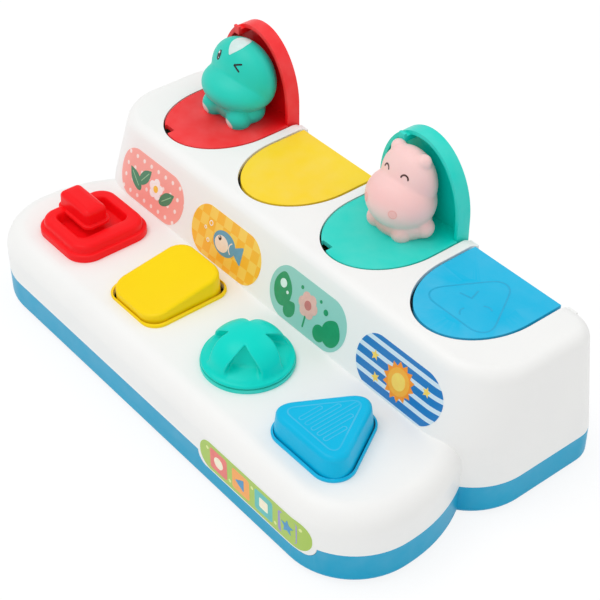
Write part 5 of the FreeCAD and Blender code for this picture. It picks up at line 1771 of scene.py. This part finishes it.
@dataclass(frozen=True)
class BlueLid:
    """The blue lid with its moulded line drawing: a soft triangle, a chevron and two arcs, in a darker blue
    that paints the shade of grooves.
    """

    nodes: dict[str, bpy.types.Object]
    middle: Point = (100.8, 41.4)
    face: float = 81.0
    hollow: float = 0.7
    line: float = 0.9
    turn: float = 60.0

    def build(self, finish: bpy.types.Material) -> None:
        """Make the lid's face flat and lay the lines on it in a darker blue, as painted groove shade.

        Args:
            finish: its plastic.
        """
        mesh = bmesh.new()
        mesh.from_mesh(self.nodes["rotor_blue"].data)
        bmesh.ops.remove_doubles(mesh, verts=mesh.verts, dist=0.000001)
        floor = (self.face - self.hollow) * MM
        low = [vert for vert in mesh.verts if abs(vert.co.z - floor) < 0.00005]
        bmesh.ops.translate(mesh, verts=low, vec=(0.0, 0.0, self.hollow * MM))
        bmesh.ops.dissolve_degenerate(mesh, edges=mesh.edges, dist=0.000001)
        mark_crisp(mesh, math.radians(35))
        spot = Vector((self.middle[0], self.middle[1], self.face)) * MM
        prints = Prints(BVHTree.FromBMesh(mesh), thick=0.2, place=facing(spot, UP, RIGHT))
        finish_piece(mesh, "blue_lid_body", "blue_rotor", [finish], ["rotor_blue"])
        prints.lay(Flat.border(Flat.polygon(3, 29.0, 14.0), self.line))
        chevron = [(-4.8, 7.8), (0.0, 2.6), (4.8, 7.8), (4.1, 8.5), (0.0, 4.0), (-4.1, 8.5)]
        prints.lay(Flat.traced(chevron), turn=self.turn)
        for x, y, start in ((-4.6, -6.6, 105.0), (3.4, -6.8, -5.0)):
            arc = Flat.arc(3.6, start, 80.0, self.line)
            bmesh.ops.translate(arc, verts=arc.verts, vec=(x, y, 0.0))
            prints.lay(arc, turn=self.turn)
        # A darker blue than the lid: painted shade in place of the moulded grooves' shadow.
        ink = Ink("emblem_groove_shade", shade(0, 168, 212))
        prints.finish("blue_lid_emblem", "blue_rotor", "rotor_blue", [ink.material()])


# --------------------------------------------------------------------------------------------
# Studio
# --------------------------------------------------------------------------------------------
@dataclass(frozen=True)
class Lamp:
    """One soft square lamp: its place and size in metres and its power in watts."""

    name: str
    place: Place
    size: float
    power: float

    def hang(self) -> None:
        """Hang the lamp so that it faces the toy."""
        light = bpy.data.lights.new(self.name, "AREA")
        light.size = self.size
        light.energy = self.power
        made = put(self.name, light)
        made.location = self.place
        made.rotation_euler = (-Vector(self.place)).to_track_quat("-Z", "Y").to_euler()


@dataclass(frozen=True)
class Studio:
    """The pale floor, the soft lights and the camera."""

    camera_place: Place = (0.4934, -0.3822, 0.5556)
    camera_turn: float = 50.88
    camera_tilt: float = 39.59
    lens: float = 95.625
    world_light: float = 0.68
    floor_size: float = 4.0
    floor_white: float = 1.04
    floor_veil: float = 0.82
    lamps: tuple[Lamp, ...] = (Lamp("key", (-0.35, -0.45, 1.45), 0.9, 6.4),
                               Lamp("fill", (0.95, -0.75, 0.95), 0.9, 1.2),
                               Lamp("back", (0.1, 0.95, 1.0), 0.8, 1.4))

    def build(self) -> None:
        """Build floor, lights, world and camera."""
        bpy.context.scene.view_settings.view_transform = "Standard"
        self.floor()
        for lamp in self.lamps:
            lamp.hang()
        self.world()
        self.camera()

    def floor(self) -> None:
        """Lay the pale floor, which shows white to the camera and keeps the toy's shadow."""
        mesh = bmesh.new()
        bmesh.ops.create_grid(mesh, x_segments=2, y_segments=2, size=self.floor_size)
        made = put("floor", copied(mesh))
        dress = Dress("floor_paper")
        tone = dress.tone(Tone(shade(252, 252, 252), shade(250, 250, 250), 3.0, 0.5))
        dress.feed(dress.body, {"Base Color": tone, "Roughness": 0.9})
        ray = dress.add("LightPath").outputs
        through = dress.maths("MAXIMUM", ray["Is Glossy Ray"], ray["Is Transmission Ray"])
        seen = dress.maths("MAXIMUM", ray["Is Camera Ray"], through)
        share = dress.maths("MULTIPLY", seen, self.floor_veil)
        white = dress.add("Emission", {"Color": WHITE, "Strength": self.floor_white})
        blend = dress.add("MixShader", {0: share, 1: dress.body.outputs[0], 2: white.outputs[0]})
        dress.feed(dress.tree.nodes["Material Output"], {"Surface": blend.outputs[0]})
        made.data.materials.append(dress.made)

    def world(self) -> None:
        """Light the toy evenly from a white sky, shown at full white to the camera."""
        world = bpy.data.worlds.new("studio")
        world.use_nodes = True
        nodes = Nodes(world.node_tree)
        seen = nodes.add("LightPath").outputs["Is Camera Ray"]
        level = nodes.add("Mix", {"Factor": seen, 2: self.world_light, 3: 1.0}, data_type="FLOAT")
        nodes.feed(nodes.tree.nodes["Background"], {"Color": WHITE, "Strength": level.outputs[0]})
        bpy.context.scene.world = world

    def camera(self) -> None:
        """Set up the camera."""
        data = bpy.data.cameras.new("camera")
        data.lens = self.lens
        data.sensor_width = 36.0
        data.clip_start = 0.01
        made = put("camera", data)
        made.location = self.camera_place
        made.rotation_euler = (math.radians(90.0 - self.camera_tilt), 0.0, math.radians(self.camera_turn))
        bpy.context.scene.camera = made


def dress_nodes(dresser: NodeDresser, finishes: Finishes) -> None:
    """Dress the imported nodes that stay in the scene.

    Args:
        dresser: what dresses a node.
        finishes: the toy's finishes.
    """
    sharp, eased, soft = 0.0, 0.0002, 0.0003
    for finish, edge, names in (
            (finishes.white, sharp, ("housing",)),
            (finishes.base_blue, sharp, ("base_shell",)),
            (finishes.rubber, soft, ("feet",)),
            (finishes.steel, sharp, ("screws", "hinge_pins", "torsion_springs", "latch_springs",
                                     "rocker_pin", "button_spring")),
            (finishes.latch_white, eased, ("latch_red", "latch_yellow", "latch_teal", "latch_blue",
                                           "latch_cover", "switch_plate", "dial_crank")),
            (finishes.red, sharp, ("rotor_red",)),
            (finishes.yellow, sharp, ("rotor_yellow", "rocker_base")),
            (finishes.teal, sharp, ("rotor_teal", "dial_base")),
            (finishes.blue, sharp, ("button_base",))):
        for name in names:
            dresser.dress(name, finish, edge)
            LOG.info("dressed %s", name)


def main() -> None:
    """Build every sub-assembly in order."""
    logging.basicConfig(level=logging.INFO, format="%(name)s: %(message)s")
    finishes = make_finishes()
    nodes = frame["nodes"]
    dresser = NodeDresser(nodes)
    dress_nodes(dresser, finishes)
    Labels(nodes, dresser).build()
    for figure in figures():
        figure.build()
    SlideSwitch().build(finishes.red)
    RockerKey().build(finishes.yellow)
    PocketDial().build(finishes.teal)
    TriangleButton().build(finishes.blue)
    BlueLid(nodes).build(finishes.blue)
    Studio().build()


if __name__ == "__main__":
    main()
